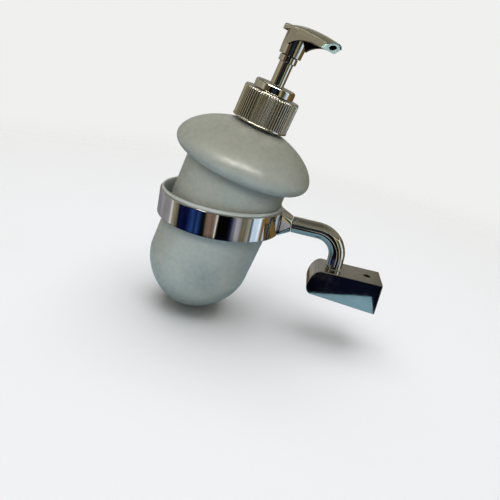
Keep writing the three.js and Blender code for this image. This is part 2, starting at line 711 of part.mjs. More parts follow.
// The hollow stem: a foot and a core for the piston, the plated length that shows, the wider step, and a
// spigot in the head's socket with room for the outlet ball.
function stem() {
  const room = CAGE_RADIUS;
  const roomBase = STEM_TOP - OUTLET_ROOM_HEIGHT;
  return turned(
    [
      [STEM_BORE_RADIUS, STEM_FOOT_BOTTOM],
      [STEM_FOOT_RADIUS, STEM_FOOT_BOTTOM],
      [STEM_FOOT_RADIUS, STEM_FOOT_TOP],
      [STEM_CORE_RADIUS, STEM_FOOT_TOP],
      [STEM_CORE_RADIUS, PISTON_TOP + FIT_GAP],
      [STEM_RADIUS, PISTON_TOP + FIT_GAP],
      [STEM_RADIUS, STEP_BOTTOM],
      [STEP_RADIUS, STEP_BOTTOM],
      [STEP_RADIUS, STEP_TOP],
      [STEM_SPIGOT_RADIUS, STEP_TOP],
      [STEM_SPIGOT_RADIUS, STEM_TOP],
      [room, STEM_TOP],
      [room, roomBase],
      [SEAT_RADIUS, roomBase - SEAT_HEIGHT],
      [STEM_BORE_RADIUS, roomBase - 2 * SEAT_HEIGHT],
    ],
    SMALL_SEGMENTS,
  );
}

// The piston: a soft sleeve on the stem's core with a cupped lip at each end that wipes the bore.
function pistonSeal() {
  const wiping = HOUSING_BORE_RADIUS - SLIDE_GAP;
  const waist = wiping - PISTON_LIP;
  const inner = STEM_CORE_RADIUS + FIT_GAP;
  return turned(
    [
      [inner, PISTON_BOTTOM],
      [wiping, PISTON_BOTTOM],
      [wiping, PISTON_BOTTOM + PISTON_LIP],
      [waist, PISTON_BOTTOM + 2 * PISTON_LIP],
      [waist, PISTON_TOP - 2 * PISTON_LIP],
      [wiping, PISTON_TOP - PISTON_LIP],
      [wiping, PISTON_TOP],
      [inner, PISTON_TOP],
    ],
    SMALL_SEGMENTS,
  );
}

// The return spring: one unbroken wire wound from the housing's floor up to the stem's foot.
function returnSpring() {
  const low = SPRING_FLOOR + FIT_GAP + SPRING_WIRE_RADIUS;
  const high = STEM_FOOT_BOTTOM - FIT_GAP - SPRING_WIRE_RADIUS;
  const climb = (high - low) / (2 * Math.PI * SPRING_TURNS);
  const slant = Math.hypot(SPRING_RADIUS, climb);
  const middles = [];
  const loops = steps(0, 2 * Math.PI * SPRING_TURNS, SPRING_TURNS * SPRING_STEPS).map((turn) => {
    const outward = new THREE.Vector3(Math.cos(turn), Math.sin(turn), 0);
    const along = new THREE.Vector3(
      (-SPRING_RADIUS * Math.sin(turn)) / slant,
      (SPRING_RADIUS * Math.cos(turn)) / slant,
      climb / slant,
    );
    const up = new THREE.Vector3().crossVectors(along, outward);
    const middle = outward.clone().multiplyScalar(SPRING_RADIUS).setZ(low + climb * turn);
    middles.push(middle);
    return steps(0, 2 * Math.PI, SPRING_SIDES).slice(0, -1).map((angle) =>
      middle
        .clone()
        .addScaledVector(outward, SPRING_WIRE_RADIUS * Math.cos(angle))
        .addScaledVector(up, SPRING_WIRE_RADIUS * Math.sin(angle)),
    );
  });
  const reaches = middles.flatMap((point, i) =>
    middles.slice(i + SPRING_STEPS / 2).map((other) => point.distanceTo(other)),
  );
  const gap = Math.min(...reaches) - 2 * SPRING_WIRE_RADIUS;
  console.log(`return spring: least gap between turns ${gap.toFixed(2)} mm`);
  return loft(loops);
}

// Pump head

// The height of the crest: highest just ahead of the stem, with a fall to the spout and a dip to the tab.
function crestAt(along) {
  if (along > CREST_PEAK) {
    const share = (along - CREST_PEAK) / (SPOUT_REACH - CREST_PEAK);
    return CREST_HEIGHT - CREST_DROP * share ** CREST_POWER;
  }
  const dip = CREST_DIP * ((CREST_PEAK - along) / (CREST_PEAK + TAB_ROOT)) ** 2;
  const lift = TAB_LIFT * Math.max(0, (-along - TAB_ROOT) / (TAB_REACH - TAB_ROOT)) ** TAB_POWER;
  return CREST_HEIGHT - dip + lift;
}

// The height of the side walls' lower edge, an arch from the socket to the spout's lower corner.
function archAt(along) {
  const span = SPOUT_REACH - SPOUT_UNDERCUT - ARCH_START;
  const share = THREE.MathUtils.clamp((along - ARCH_START) / span, 0, 1);
  const skewed = share ** ARCH_SKEW;
  return ARCH_START_HEIGHT + ARCH_END_RISE * share + ARCH_RISE * 4 * skewed * (1 - skewed);
}

// Half the head's width, set in by a wall.
function halfWidthAt(along, inset) {
  const share = THREE.MathUtils.clamp(along / SPOUT_REACH, 0, 1);
  return THREE.MathUtils.lerp(HEAD_RADIUS, SPOUT_TIP_WIDTH / 2, share) - inset;
}

// A body under the head's crowned top, over all of its length, down to a floor given as a height.
function underCrown(inset, floorAt) {
  const side = HEAD_RADIUS + OVERRUN;
  const stations = [
    ...steps(-TAB_REACH - OVERRUN, 0, 6),
    ...steps(0, SPOUT_REACH + OVERRUN, 12).slice(1),
  ];
  return solid(
    loft(
      stations.map((x) => {
        const half = halfWidthAt(x, 0);
        const roof = steps(1, -1, 8).map((share) => {
          return [half * share, crestAt(x) - inset - CROWN * share ** 2];
        });
        const edge = crestAt(x) - inset - CROWN;
        const floor = Math.min(floorAt(x), edge - FIT_GAP);
        const loop = [[-side, floor], [side, floor], [side, edge], ...roof, [-side, edge]];
        return loop.map(([y, z]) => new THREE.Vector3(x, y, z));
      }),
    ),
  );
}

// The head's plan, rounded about the stem and tapering to the spout, set in by a wall.
function headPlan(inset) {
  const shape = new THREE.Shape();
  const radius = HEAD_RADIUS - inset;
  const tip = halfWidthAt(SPOUT_REACH, inset);
  const far = SPOUT_REACH + OVERRUN;
  const bow = radius - (radius - tip) / 4;
  shape.absarc(0, 0, radius, Math.PI / 2, 1.5 * Math.PI, false);
  shape.quadraticCurveTo(SPOUT_REACH / 2, -bow, far, -tip);
  shape.lineTo(far, tip);
  shape.quadraticCurveTo(SPOUT_REACH / 2, bow, 0, radius);
  return shape;
}

// The plan of the thumb tab and of the rim that runs forward from it along both sides of the head.
function tabPlan() {
  const shape = new THREE.Shape();
  const half = TAB_WIDTH / 2;
  const wide = HEAD_RADIUS + RIM_PROUD;
  const front = halfWidthAt(RIM_REACH, HEAD_WALL / 2);
  shape.moveTo(RIM_REACH, -front);
  shape.lineTo(RIM_REACH, front);
  shape.quadraticCurveTo(RIM_REACH / 2, wide, 0, wide);
  shape.quadraticCurveTo(-TAB_ROOT, wide, TAB_CORNER - TAB_REACH, half);
  shape.quadraticCurveTo(-TAB_REACH, half, -TAB_REACH, half - TAB_CORNER);
  shape.lineTo(-TAB_REACH, TAB_CORNER - half);
  shape.quadraticCurveTo(-TAB_REACH, -half, TAB_CORNER - TAB_REACH, -half);
  shape.quadraticCurveTo(-TAB_ROOT, -wide, 0, -wide);
  shape.quadraticCurveTo(RIM_REACH / 2, -wide, RIM_REACH, -front);
  return shape;
}

// Everything beyond the slanting end of the spout, moved back for a piece that lies behind the end.
function beyondSpout(back) {
  const low = new THREE.Vector2(SPOUT_REACH - SPOUT_UNDERCUT, archAt(SPOUT_REACH));
  const high = new THREE.Vector2(SPOUT_REACH, crestAt(SPOUT_REACH));
  const way = high.clone().sub(low);
  const corners = [
    new THREE.Vector2(3 * SPOUT_REACH, low.y),
    low.clone().addScaledVector(way, 3),
    low.clone().addScaledVector(way, -2),
  ];
  const side = 2 * HEAD_RADIUS;
  return solid(
    new THREE.ExtrudeGeometry(new THREE.Shape(corners), { depth: 2 * side, bevelEnabled: false })
      .rotateX(Math.PI / 2)
      .translate(-back, side, 0),
  );
}

// Everything the head's plan covers between its lowest and highest points.
function planBody(inset) {
  return solid(prism(headPlan(inset), HEAD_BOTTOM - OVERRUN, HEAD_CEILING, 7));
}

// The plated head: a crowned beak with thin arched side walls, open below, with a thumb tab and its rim,
// the socket that takes the stem and the duct that runs out from it under the roof.
function pumpHead() {
  const shell = planBody(0)
    .intersect(underCrown(0, archAt))
    .subtract(planBody(HEAD_WALL).intersect(underCrown(HEAD_WALL, () => HEAD_BOTTOM)));
  const rim = solid(prism(tabPlan(), HEAD_BOTTOM, HEAD_CEILING, 5)).intersect(
    underCrown(0, (x) => crestAt(x) - TAB_THICKNESS - CROWN),
  );
  const socket = solid(
    turned(
      [
        [0, HEAD_BOTTOM],
        [SOCKET_RADIUS, HEAD_BOTTOM],
        [HEAD_RADIUS, ARCH_START_HEIGHT],
        [HEAD_RADIUS, CREST_HEIGHT],
        [0, CREST_HEIGHT],
      ],
      SMALL_SEGMENTS + 4,
    ),
  ).intersect(underCrown(0, () => HEAD_BOTTOM - OVERRUN));
  const ductEnd = SPOUT_REACH - NOZZLE_LENGTH - FIT_GAP;
  const duct = solid(alongX(bar(DUCT_RADIUS, HEAD_WALL, ductEnd, 12)).translate(0, 0, DUCT_LINE));
  const web = solid(
    block([HEAD_WALL, -DUCT_WEB / 2, DUCT_LINE], [ductEnd, DUCT_WEB / 2, HEAD_CEILING]),
  ).intersect(underCrown(HEAD_WALL / 2, archAt));
  const ductBore = solid(
    alongX(bar(DUCT_BORE_RADIUS, 0, ductEnd + OVERRUN, 12)).translate(0, 0, DUCT_LINE),
  );
  const room = solid(bar(SOCKET_ROOM_RADIUS, STEM_TOP, DUCT_LINE + DUCT_BORE_RADIUS, 12));
  const stemHole = solid(
    bar(STEM_SPIGOT_RADIUS + FIT_GAP, HEAD_BOTTOM - OVERRUN, STEM_TOP + FIT_GAP),
  );
  const recess = beyondSpout(NOZZLE_FACE + FIT_GAP).intersect(underCrown(SPOUT_LIP, () => HEAD_BOTTOM));
  return geometryOf(
    [ductBore, room, stemHole, recess, beyondSpout(0)].reduce(
      (body, cut) => body.subtract(cut),
      shell.add(rim).add(socket).add(duct).add(web),
    ),
  );
}

// The nozzle insert: a plug in the end of the beak behind a face plate under the roof's lip, with the
// outlet hole and a narrower bore back to the duct.
function nozzleInsert() {
  const inset = HEAD_WALL + FIT_GAP;
  const side = 2 * HEAD_RADIUS;
  const rear = SPOUT_REACH - NOZZLE_LENGTH;
  const window = solid(block([rear, -side, HEAD_BOTTOM], [SPOUT_REACH + OVERRUN, side, HEAD_CEILING]));
  const plug = planBody(inset).intersect(underCrown(inset, archAt)).intersect(window);
  const plate = planBody(NOZZLE_FACE_INSET)
    .intersect(underCrown(SPOUT_LIP + FIT_GAP, archAt))
    .intersect(beyondSpout(NOZZLE_FACE));
  const faceMiddle = (archAt(SPOUT_REACH) + crestAt(SPOUT_REACH) - SPOUT_LIP - FIT_GAP) / 2;
  const holeStart = SPOUT_REACH - NOZZLE_HOLE_DEPTH;
  const outlet = solid(
    alongX(bar(NOZZLE_HOLE_RADIUS, holeStart, SPOUT_REACH + OVERRUN, 16)).translate(0, 0, faceMiddle),
  );
  const bore = solid(
    alongX(bar(DUCT_BORE_RADIUS, rear - OVERRUN, holeStart + OVERRUN, 12)).translate(0, 0, DUCT_LINE),
  );
  return geometryOf(plug.add(plate).subtract(outlet).subtract(bore).subtract(beyondSpout(NOZZLE_FACE_BACK)));
}

// Assembly
const dispenser = new THREE.Group();

const ringGroup = new THREE.Group();
ringGroup.position.set(-WALL_REACH, 0, RING_HEIGHT);
ringGroup.add(
  piece("ring_band", ringBand(), chrome),
  piece("ring_liner", ringLiner(), linerPlastic),
  piece("ring_screw", ringScrew(), steel),
  piece("arm", arm(), chrome),
);

const wallGroup = new THREE.Group();
wallGroup.add(
  piece("wall_block", wallBlock(), chrome),
  piece("wall_bracket", wallBracket(), zinc),
  piece("set_screw", setScrew(), steel),
);

const bottleGroup = new THREE.Group();
bottleGroup.position.set(
  -WALL_REACH + BOTTLE_SHIFT + COLLAR_ABOVE_RING * Math.sin(BOTTLE_LEAN),
  0,
  RING_HEIGHT + COLLAR_ABOVE_RING * Math.cos(BOTTLE_LEAN),
);
bottleGroup.rotation.y = BOTTLE_LEAN;
bottleGroup.add(
  piece("bottle", bottle(), frostedGlass),
  piece("collar", collar(), chrome),
  piece("collar_insert", collarInsert(), naturalPlastic),
  piece("gasket", gasket(), naturalPlastic),
  piece("pump_housing", pumpHousing(), naturalPlastic),
  piece("inlet_ball", ball(SEAT_BOTTOM), steel),
  piece("dip_tube", dipTube(), naturalPlastic),
  piece("guide_cap", guideCap(), chrome),
  piece("return_spring", returnSpring(), steel),
  piece("piston_seal", pistonSeal(), naturalPlastic),
  piece("stem", stem(), chrome),
  piece("outlet_ball", ball(STEM_TOP - OUTLET_ROOM_HEIGHT - SEAT_HEIGHT), steel),
);

const headGroup = new THREE.Group();
headGroup.rotation.z = HEAD_TURN;
headGroup.add(
  piece("pump_head", pumpHead(), chrome),
  piece("nozzle_insert", nozzleInsert(), nozzlePlastic),
);
bottleGroup.add(headGroup);

dispenser.add(ringGroup, wallGroup, bottleGroup);

export default dispenser;
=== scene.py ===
"""Looks of a wall-held soap dispenser: a frosted glass bottle with a lotion pump in a chrome ring on an arm.

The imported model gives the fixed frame, in metres, with the wall bracket's face at the origin and +X into the
wall. Each sub-assembly here is a class that works in millimetres of its own frame and sets its pieces into
the shared one, on the body that carries them.
"""

import json
import logging
import math
from collections.abc import Callable, Sequence
from dataclasses import dataclass, field
from enum import Enum
from itertools import pairwise

import bmesh
import bpy
from mathutils import Matrix, Vector

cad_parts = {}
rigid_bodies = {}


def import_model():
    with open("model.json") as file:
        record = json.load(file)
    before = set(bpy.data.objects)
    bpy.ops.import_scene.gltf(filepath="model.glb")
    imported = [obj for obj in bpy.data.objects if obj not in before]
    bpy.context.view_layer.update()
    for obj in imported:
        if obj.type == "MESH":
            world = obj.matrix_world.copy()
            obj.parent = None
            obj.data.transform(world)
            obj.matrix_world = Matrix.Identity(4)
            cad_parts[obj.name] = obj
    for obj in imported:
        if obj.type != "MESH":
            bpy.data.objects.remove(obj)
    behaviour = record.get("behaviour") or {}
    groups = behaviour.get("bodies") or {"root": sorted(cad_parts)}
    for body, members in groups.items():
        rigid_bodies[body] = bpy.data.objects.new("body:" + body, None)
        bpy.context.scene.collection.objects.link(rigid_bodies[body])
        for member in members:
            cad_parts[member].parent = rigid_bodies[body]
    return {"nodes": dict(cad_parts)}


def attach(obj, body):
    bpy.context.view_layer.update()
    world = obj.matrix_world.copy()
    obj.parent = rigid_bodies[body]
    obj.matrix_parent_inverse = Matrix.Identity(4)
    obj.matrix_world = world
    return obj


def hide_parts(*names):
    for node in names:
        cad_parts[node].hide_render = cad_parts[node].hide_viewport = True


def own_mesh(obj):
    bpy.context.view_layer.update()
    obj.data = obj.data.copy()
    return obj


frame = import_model()

LOG = logging.getLogger("soap_dispenser")
MM = 0.001
TINY = 1e-6
PARALLEL = 1e-9  # two lines whose directions' cross product is smaller don't meet
WELD = 1e-4  # corners of a mesh that lie closer than this, in millimetres, become one
HAIR = 0.01  # keeps points apart that would fall together, in millimetres
FINE, ROUND, SMALL = 192, 96, 48  # faces round large forms, middling ones and small ones

# Rounded corners of an outline
NEARLY_STRAIGHT = math.radians(89)  # half the angle between two sides that need no rounding
ROUNDED_SHARE = 0.42  # of the shorter side, the most that a rounding takes up
SUPPORT_SHARE = 0.3  # of a rounding's reach, how far beyond it the supporting point lies
SUPPORT_ROOM = 0.06  # of the shorter side, the most that it lies beyond

# Sockets of Blender's mix node for its two colours, which share their names with others.
MIX_A, MIX_B = 6, 7

Point = tuple[float, float]
Point3 = tuple[float, float, float]
Loop = list[Vector]
Node = bpy.types.Node
Socket = bpy.types.NodeSocket
Tree = bpy.types.NodeTree


class Body(Enum):
    """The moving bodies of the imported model."""

    HOLDER = "holder"
    BOTTLE = "bottle"
    PUMP = "pump"
    COLLAR = "collar"
    PLUNGER = "plunger"
    HEAD = "head"


class Slot(Enum):
    """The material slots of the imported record."""

    CHROME = "chrome"
    PLATED = "plated_plastic"
    GLASS = "frosted_glass"
    LINER = "liner_plastic"
    NATURAL = "natural_plastic"
    NOZZLE = "nozzle_plastic"
    ZINC = "zinc"
    STEEL = "steel"


class Bore(Enum):
    """The plan of a hole in a fastener's top."""

    ROUND = 0
    HEXAGON = 6


# Numbers and curves


def mix(low: float, high: float, share: float) -> float:
    """Goes a share of the way from low to high."""
    return low + (high - low) * share


def steps(low: float, high: float, count: int) -> list[float]:
    """Gives count + 1 evenly spaced values from low to high."""
    return [mix(low, high, i / count) for i in range(count + 1)]


def bezier(start: Point, control: Point, end: Point, count: int) -> list[Point]:
    """Samples a curve that leaves start and reaches end towards one control point.

    Args:
        start: First point.
        control: Point that both ends of the curve aim at.
        end: Last point.
        count: Number of steps.

    Returns:
        The points, both ends included.
    """
    return [
        (
            (1 - t) ** 2 * start[0] + 2 * t * (1 - t) * control[0] + t * t * end[0],
            (1 - t) ** 2 * start[1] + 2 * t * (1 - t) * control[1] + t * t * end[1],
        )
        for t in steps(0, 1, count)
    ]


def arc(
    middle: Point, wide: float, high: float, start: float, end: float, count: int, power: float = 1.0
) -> list[Point]:
    """Samples an arc of an ellipse, or of a fuller curve like one.

    Args:
        middle: Its middle.
        wide: Half its width.
        high: Half its height; below 0 turns the arc over.
        start: Angle that it starts at, from the first axis.
        end: Angle that it ends at.
        count: Number of steps.
        power: Of the sine and the cosine; below 1 makes the curve fuller.

    Returns:
        The points, both ends included.
    """

    def full(value: float) -> float:
        """A sine or a cosine, raised with its sign kept."""
        return math.copysign(abs(value) ** power, value)

    (x, y), angles = middle, steps(start, end, count)
    return [(x + wide * full(math.cos(a)), y + high * full(math.sin(a))) for a in angles]


def level(points: Sequence[Point], height: float) -> Loop:
    """Lays points in X and Y at a height."""
    return [Vector((x, y, height)) for x, y in points]


def across(points: Sequence[Point], length: float) -> Loop:
    """Stands points in Y and Z at a place along X."""
    return [Vector((length, y, z)) for y, z in points]


def height_on(curve: Sequence[Point], x: float) -> float:
    """Reads a curve's second value at a first value.

    Args:
        curve: Points with rising first values.
        x: Where to read.

    Returns:
        The value between the two nearest points, or the end's value beyond an end.
    """
    if x <= curve[0][0]:
        return curve[0][1]
    for (x0, y0), (x1, y1) in pairwise(curve):
        if x <= x1:
            return y1 if x1 == x0 else mix(y0, y1, (x - x0) / (x1 - x0))
    return curve[-1][1]


def softened(corners: Sequence[Point3], count: int = 4) -> list[Point]:
    """Rounds the corners of a closed outline.

    Args:
        corners: Each corner's two coordinates and the radius that rounds it; 0 leaves it sharp.
        count: Steps of each rounding.

    Returns:
        The outline with arcs, and a supporting point just beyond each end of an arc, which keeps the flat
        beside it flat under smooth shading.
    """
    outline: list[Point] = []
    for i, (x, y, radius) in enumerate(corners):
        corner = Vector((x, y))
        before = Vector(corners[i - 1][:2]) - corner
        after = Vector(corners[(i + 1) % len(corners)][:2]) - corner
        room = min(before.length, after.length)
        if radius <= 0 or room < TINY:
            outline.append((x, y))
            continue
        before, after = before.normalized(), after.normalized()
        half = before.angle(after) / 2
        if half > NEARLY_STRAIGHT:
            outline.append((x, y))
            continue
        reach = min(radius / math.tan(half), ROUNDED_SHARE * room)
        radius = reach * math.tan(half)
        middle = corner + (before + after).normalized() * math.hypot(reach, radius)
        first, last = corner + before * reach, corner + after * reach
        support = min(SUPPORT_SHARE * reach, SUPPORT_ROOM * room)
        outline.append(tuple(first + before * support))
        turn = (first - middle).angle_signed(last - middle)
        for share in steps(0, 1, count):
            spoke = first - middle
            spoke.rotate(Matrix.Rotation(-turn * share, 2))
            outline.append(tuple(middle + spoke))
        outline.append(tuple(last + after * support))
    return outline


# Meshes


class Draft:
    """A mesh in the making, in millimetres of its sub-assembly's own frame."""

    def __init__(self) -> None:
        """Starts empty."""
        self.bm = bmesh.new()

    def ring(self, radius: float, height: float, segments: int) -> list[bmesh.types.BMVert]:
        """Adds a level ring of corners round the Z axis, or one corner on it."""
        points = circle(radius, segments if radius > TINY else 1)
        return [self.bm.verts.new(point) for point in level(points, height)]

    def join(self, low: Sequence[bmesh.types.BMVert], high: Sequence[bmesh.types.BMVert]) -> None:
        """Skins the strip between two rings.

        Args:
            low: First ring, or a single corner.
            high: Second ring, or a single corner.
        """
        count = max(len(low), len(high))
        if count == 1:
            return
        for i in range(count):
            j = (i + 1) % count
            wanted = [low[i % len(low)], low[j % len(low)], high[j % len(high)], high[i % len(high)]]
            corners = list(dict.fromkeys(wanted))
            if len(corners) > 2:
                self.bm.faces.new(corners)

    def turned(self, profile: Sequence[Point], segments: int = ROUND) -> "Draft":
        """Turns a closed profile about the Z axis.

        Args:
            profile: Radius and height of each point, in order round the section.
            segments: Faces round the axis.

        Returns:
            The draft itself.
        """
        rings = [self.ring(radius, height, segments) for radius, height in profile]
        for low, high in pairwise([*rings, rings[0]]):
            self.join(low, high)
        return self

    def lathed(self, corners: Sequence[Point3], count: int, segments: int = ROUND) -> "Draft":
        """Turns a closed profile with rounded corners about the Z axis."""
        return self.turned(softened(corners, count), segments)

    def skin(self, loops: Sequence[Loop], capped: bool = True) -> "Draft":
        """Skins loops that have the same number of points.

        Args:
            loops: The loops, in order along the piece.
            capped: True closes both ends; False joins the last loop to the first.

        Returns:
            The draft itself.
        """
        rows = [[self.bm.verts.new(point) for point in loop] for loop in loops]
        for low, high in pairwise(rows if capped else [*rows, rows[0]]):
            self.join(low, high)
        if capped:
            self.bm.faces.new(rows[0][::-1])
            self.bm.faces.new(rows[-1])
        return self

    def shell(self, sections: Sequence[tuple[Loop, Loop]]) -> list[bmesh.types.BMFace]:
        """Skins sections that each have an outer and an inner line with the same number of points.

        Args:
            sections: The two lines of each section, in order along the piece.

        Returns:
            The faces along the inner lines.
        """
        inside: list[bmesh.types.BMFace] = []
        rows = [
            ([self.bm.verts.new(p) for p in outer], [self.bm.verts.new(p) for p in inner])
            for outer, inner in sections
        ]
        for (outer, inner), (next_outer, next_inner) in pairwise(rows):
            for i in range(len(outer) - 1):
                self.bm.faces.new([outer[i], outer[i + 1], next_outer[i + 1], next_outer[i]])
                inside.append(
                    self.bm.faces.new([inner[i], next_inner[i], next_inner[i + 1], inner[i + 1]])
                )
            for i in (0, -1):
                self.bm.faces.new([outer[i], next_outer[i], next_inner[i], inner[i]])
        for outer, inner in (rows[0], rows[-1]):
            for i in range(len(outer) - 1):
                self.bm.faces.new([outer[i], inner[i], inner[i + 1], outer[i + 1]])
        return inside

    def slab(self, outline: Sequence[Point], low: float, high: float) -> "Draft":
        """Draws an outline in X and Y up from one height to another."""
        return self.skin([level(outline, z) for z in (low, high)])

    def thread(self, radius: float, low: float, pitch: float, turns: float, proud: float) -> "Draft":
        """Winds a rounded ridge about the Z axis.

        Args:
            radius: Of the wall that it stands on.
            low: Height where it starts.
            pitch: Its climb in a turn.
            turns: Number of turns.
            proud: How far it stands out and fades out at both ends, or below 0 how far it stands in.

        Returns:
            The draft itself.
        """
        path = coil(radius, low, pitch, turns, 64)
        last, side = len(path) - 1, math.copysign(1, proud)
        foot, shoulder, half, crest, fading, faded = -0.3, 0.05, 0.5, 0.2, 8, 0.05
        loops: list[Loop] = []
        for i, point in enumerate(path):
            full = min(1.0, fading * min(i, last - i) / last + faded) if proud > 0 else 1.0
            out = abs(proud) * full
            ridge = [(half, foot), (half, shoulder), (crest, out)]
            ridge += [(-up, away) for up, away in ridge[::-1]]
            outward = Vector((point.x, point.y, 0)).normalized()
            loops.append([point + (outward * away + Vector((0, 0, up))) * side for up, away in ridge])
        return self.skin(loops)

    def turn(self, degrees: float, axis: str) -> "Draft":
        """Turns all that is drawn so far about an axis of the frame."""
        self.bm.transform(Matrix.Rotation(math.radians(degrees), 4, axis))
        return self

    def move(self, x: float, y: float, z: float) -> "Draft":
        """Moves all that is drawn so far."""
        self.bm.transform(Matrix.Translation((x, y, z)))
        return self

    def second_finish(self, belongs: Callable[[Vector], bool]) -> "Draft":
        """Marks faces for the piece's second finish.

        Args:
            belongs: Tells from a face's middle whether it is marked.

        Returns:
            The draft itself.
        """
        for face in self.bm.faces:
            if belongs(face.calc_center_median()):
                face.material_index = 1
        return self

    def mesh(self, name: str, place: Matrix) -> bpy.types.Mesh:
        """Finishes the mesh in the shared frame.

        Args:
            name: Name of the mesh.
            place: Where the sub-assembly's frame lies in the shared one, in metres.

        Returns:
            The mesh, in metres, smooth shaded with its faces outward.
        """
        bmesh.ops.remove_doubles(self.bm, verts=self.bm.verts, dist=WELD)
        bmesh.ops.recalc_face_normals(self.bm, faces=self.bm.faces)
        self.bm.transform(place @ Matrix.Scale(MM, 4))
        made = bpy.data.meshes.new(name)
        self.bm.to_mesh(made)
        self.bm.free()
        made.shade_smooth()
        return made


def placed(name: str, data: bpy.types.ID) -> bpy.types.Object:
    """Makes an object and puts it in the scene.

    Args:
        name: Its name.
        data: The mesh, lamp or camera that it shows.

    Returns:
        The object.
    """
    made = bpy.data.objects.new(name, data)
    bpy.context.scene.collection.objects.link(made)
    return made


def swept(path: Sequence[Vector], section: Callable[[int], Sequence[Point]]) -> list[Loop]:
    """Carries a section along a path without twist.

    Args:
        path: Points of the middle line.
        section: Gives the section at a path point as pairs across and along the first normal.

    Returns:
        One loop for each path point.
    """
    loops: list[Loop] = []
    normal = Vector((0, 0, 1))
    for i, middle in enumerate(path):
        ahead = path[min(i + 1, len(path) - 1)] - path[max(i - 1, 0)]
        ahead.normalize()
        normal = (normal - ahead * normal.dot(ahead)).normalized()
        side = ahead.cross(normal)
        loops.append([middle + side * a + normal * b for a, b in section(i)])
    return loops


def circle(radius: float, sides: int) -> list[Point]:
    """Points of a circle about the origin."""
    angles = (2 * math.pi * i / sides for i in range(sides))
    return [(radius * math.cos(angle), radius * math.sin(angle)) for angle in angles]


def rounded(half_width: float, half_height: float, radius: float, count: int = 12) -> list[Point]:
    """Points of a rectangle about the origin with rounded corners.

    Args:
        half_width: Half its width.
        half_height: Half its height.
        radius: Of the corners.
        count: Steps in each corner.

    Returns:
        The points, anticlockwise from the right.
    """
    loop: list[Point] = []
    quarter = math.pi / 2
    for i, (a, b) in enumerate(((1, 1), (-1, 1), (-1, -1), (1, -1))):
        middle = (a * (half_width - radius), b * (half_height - radius))
        loop += arc(middle, radius, radius, i * quarter, (i + 1) * quarter, count)
    return loop


def coil(radius: float, low: float, pitch: float, turns: float, sides: int) -> list[Vector]:
    """Points of a line that winds up about the Z axis.

    Args:
        radius: Of the coil.
        low: Height where it starts.
        pitch: Its climb in a turn.
        turns: Number of turns.
        sides: Points in a turn.

    Returns:
        The points, both ends included.
    """
    places = circle(radius, sides)
    return [
        Vector((*places[i % sides], low + pitch * i / sides)) for i in range(round(turns * sides) + 1)
    ]


def carve(solid: bpy.types.Object, cutters: Sequence[bpy.types.Object]) -> None:
    """Cuts solids out of another, in its own mesh, and removes the cutters.

    Args:
        solid: What is cut.
        cutters: What is taken out of it.
    """
    for cutter in cutters:
        cut = solid.modifiers.new("cut", "BOOLEAN")
        cut.operation, cut.solver, cut.object = "DIFFERENCE", "EXACT", cutter
    graph = bpy.context.evaluated_depsgraph_get()
    done = bpy.data.meshes.new_from_object(solid.evaluated_get(graph), depsgraph=graph)
    solid.modifiers.clear()
    solid.data = done
    for cutter in cutters:
        bpy.data.objects.remove(cutter)


# Node materials


def linear(code: str) -> tuple[float, float, float, float]:
    """Turns an sRGB colour to linear light.

    Args:
        code: The colour as a hex code such as #A9ADA6.

    Returns:
        Red, green, blue and an alpha of 1.
    """
    values = [int(code[i : i + 2], 16) / 255 for i in (1, 3, 5)]
    red, green, blue = (v / 12.92 if v <= 0.04045 else ((v + 0.055) / 1.055) ** 2.4 for v in values)
    return red, green, blue, 1.0


def result(node: Node) -> Socket:
    """Gives a node's result, the first of its outputs that is in use."""
    return next(output for output in node.outputs if output.enabled)


def add_node(
    tree: Tree,
    kind: str,
    inputs: dict[str | int, object] | None = None,
    stops: Sequence[tuple[float, str]] = (),
    feeds: Socket | None = None,
    **settings: object,
) -> Node:
    """Adds a node with its settings and links.

    Args:
        tree: Where the node goes.
        kind: Blender's name of the node's type, after ShaderNode.
        inputs: For each socket a value, or the node or socket that it is linked from.
        stops: Places and sRGB hex colours of a colour ramp.
        feeds: A socket that the node's result goes to.
        settings: The node's own properties.

    Returns:
        The node.
    """
    made = tree.nodes.new(f"ShaderNode{kind}")
    for name, value in settings.items():
        setattr(made, name, value)
    for name, value in (inputs or {}).items():
        if isinstance(value, Node | Socket):
            tree.links.new(result(value) if isinstance(value, Node) else value, made.inputs[name])
        else:
            made.inputs[name].default_value = value
    if stops:
        ramp = made.color_ramp.elements
        while len(ramp) < len(stops):
            ramp.new(1.0)
        for element, (place, code) in zip(ramp, stops, strict=True):
            element.position = place
            element.color = linear(code)
    if feeds:
        tree.links.new(result(made), feeds)
    return made


def cleared(owner: bpy.types.Material | bpy.types.World) -> Tree:
    """Turns on the nodes of a material or a world and takes out those that it starts with.

    Args:
        owner: The material or the world.

    Returns:
        Its nodes, none yet.
    """
    owner.use_nodes = True
    owner.node_tree.nodes.clear()
    return owner.node_tree


@dataclass(frozen=True)
class Pattern:
    """Cloudy unevenness.

    Attributes:
        size: Of its largest features in millimetres.
        detail: How many finer layers lie over them.
        roughness: How strong each of those is.
    """

    size: float
    detail: float = 2.0
    roughness: float = 0.5


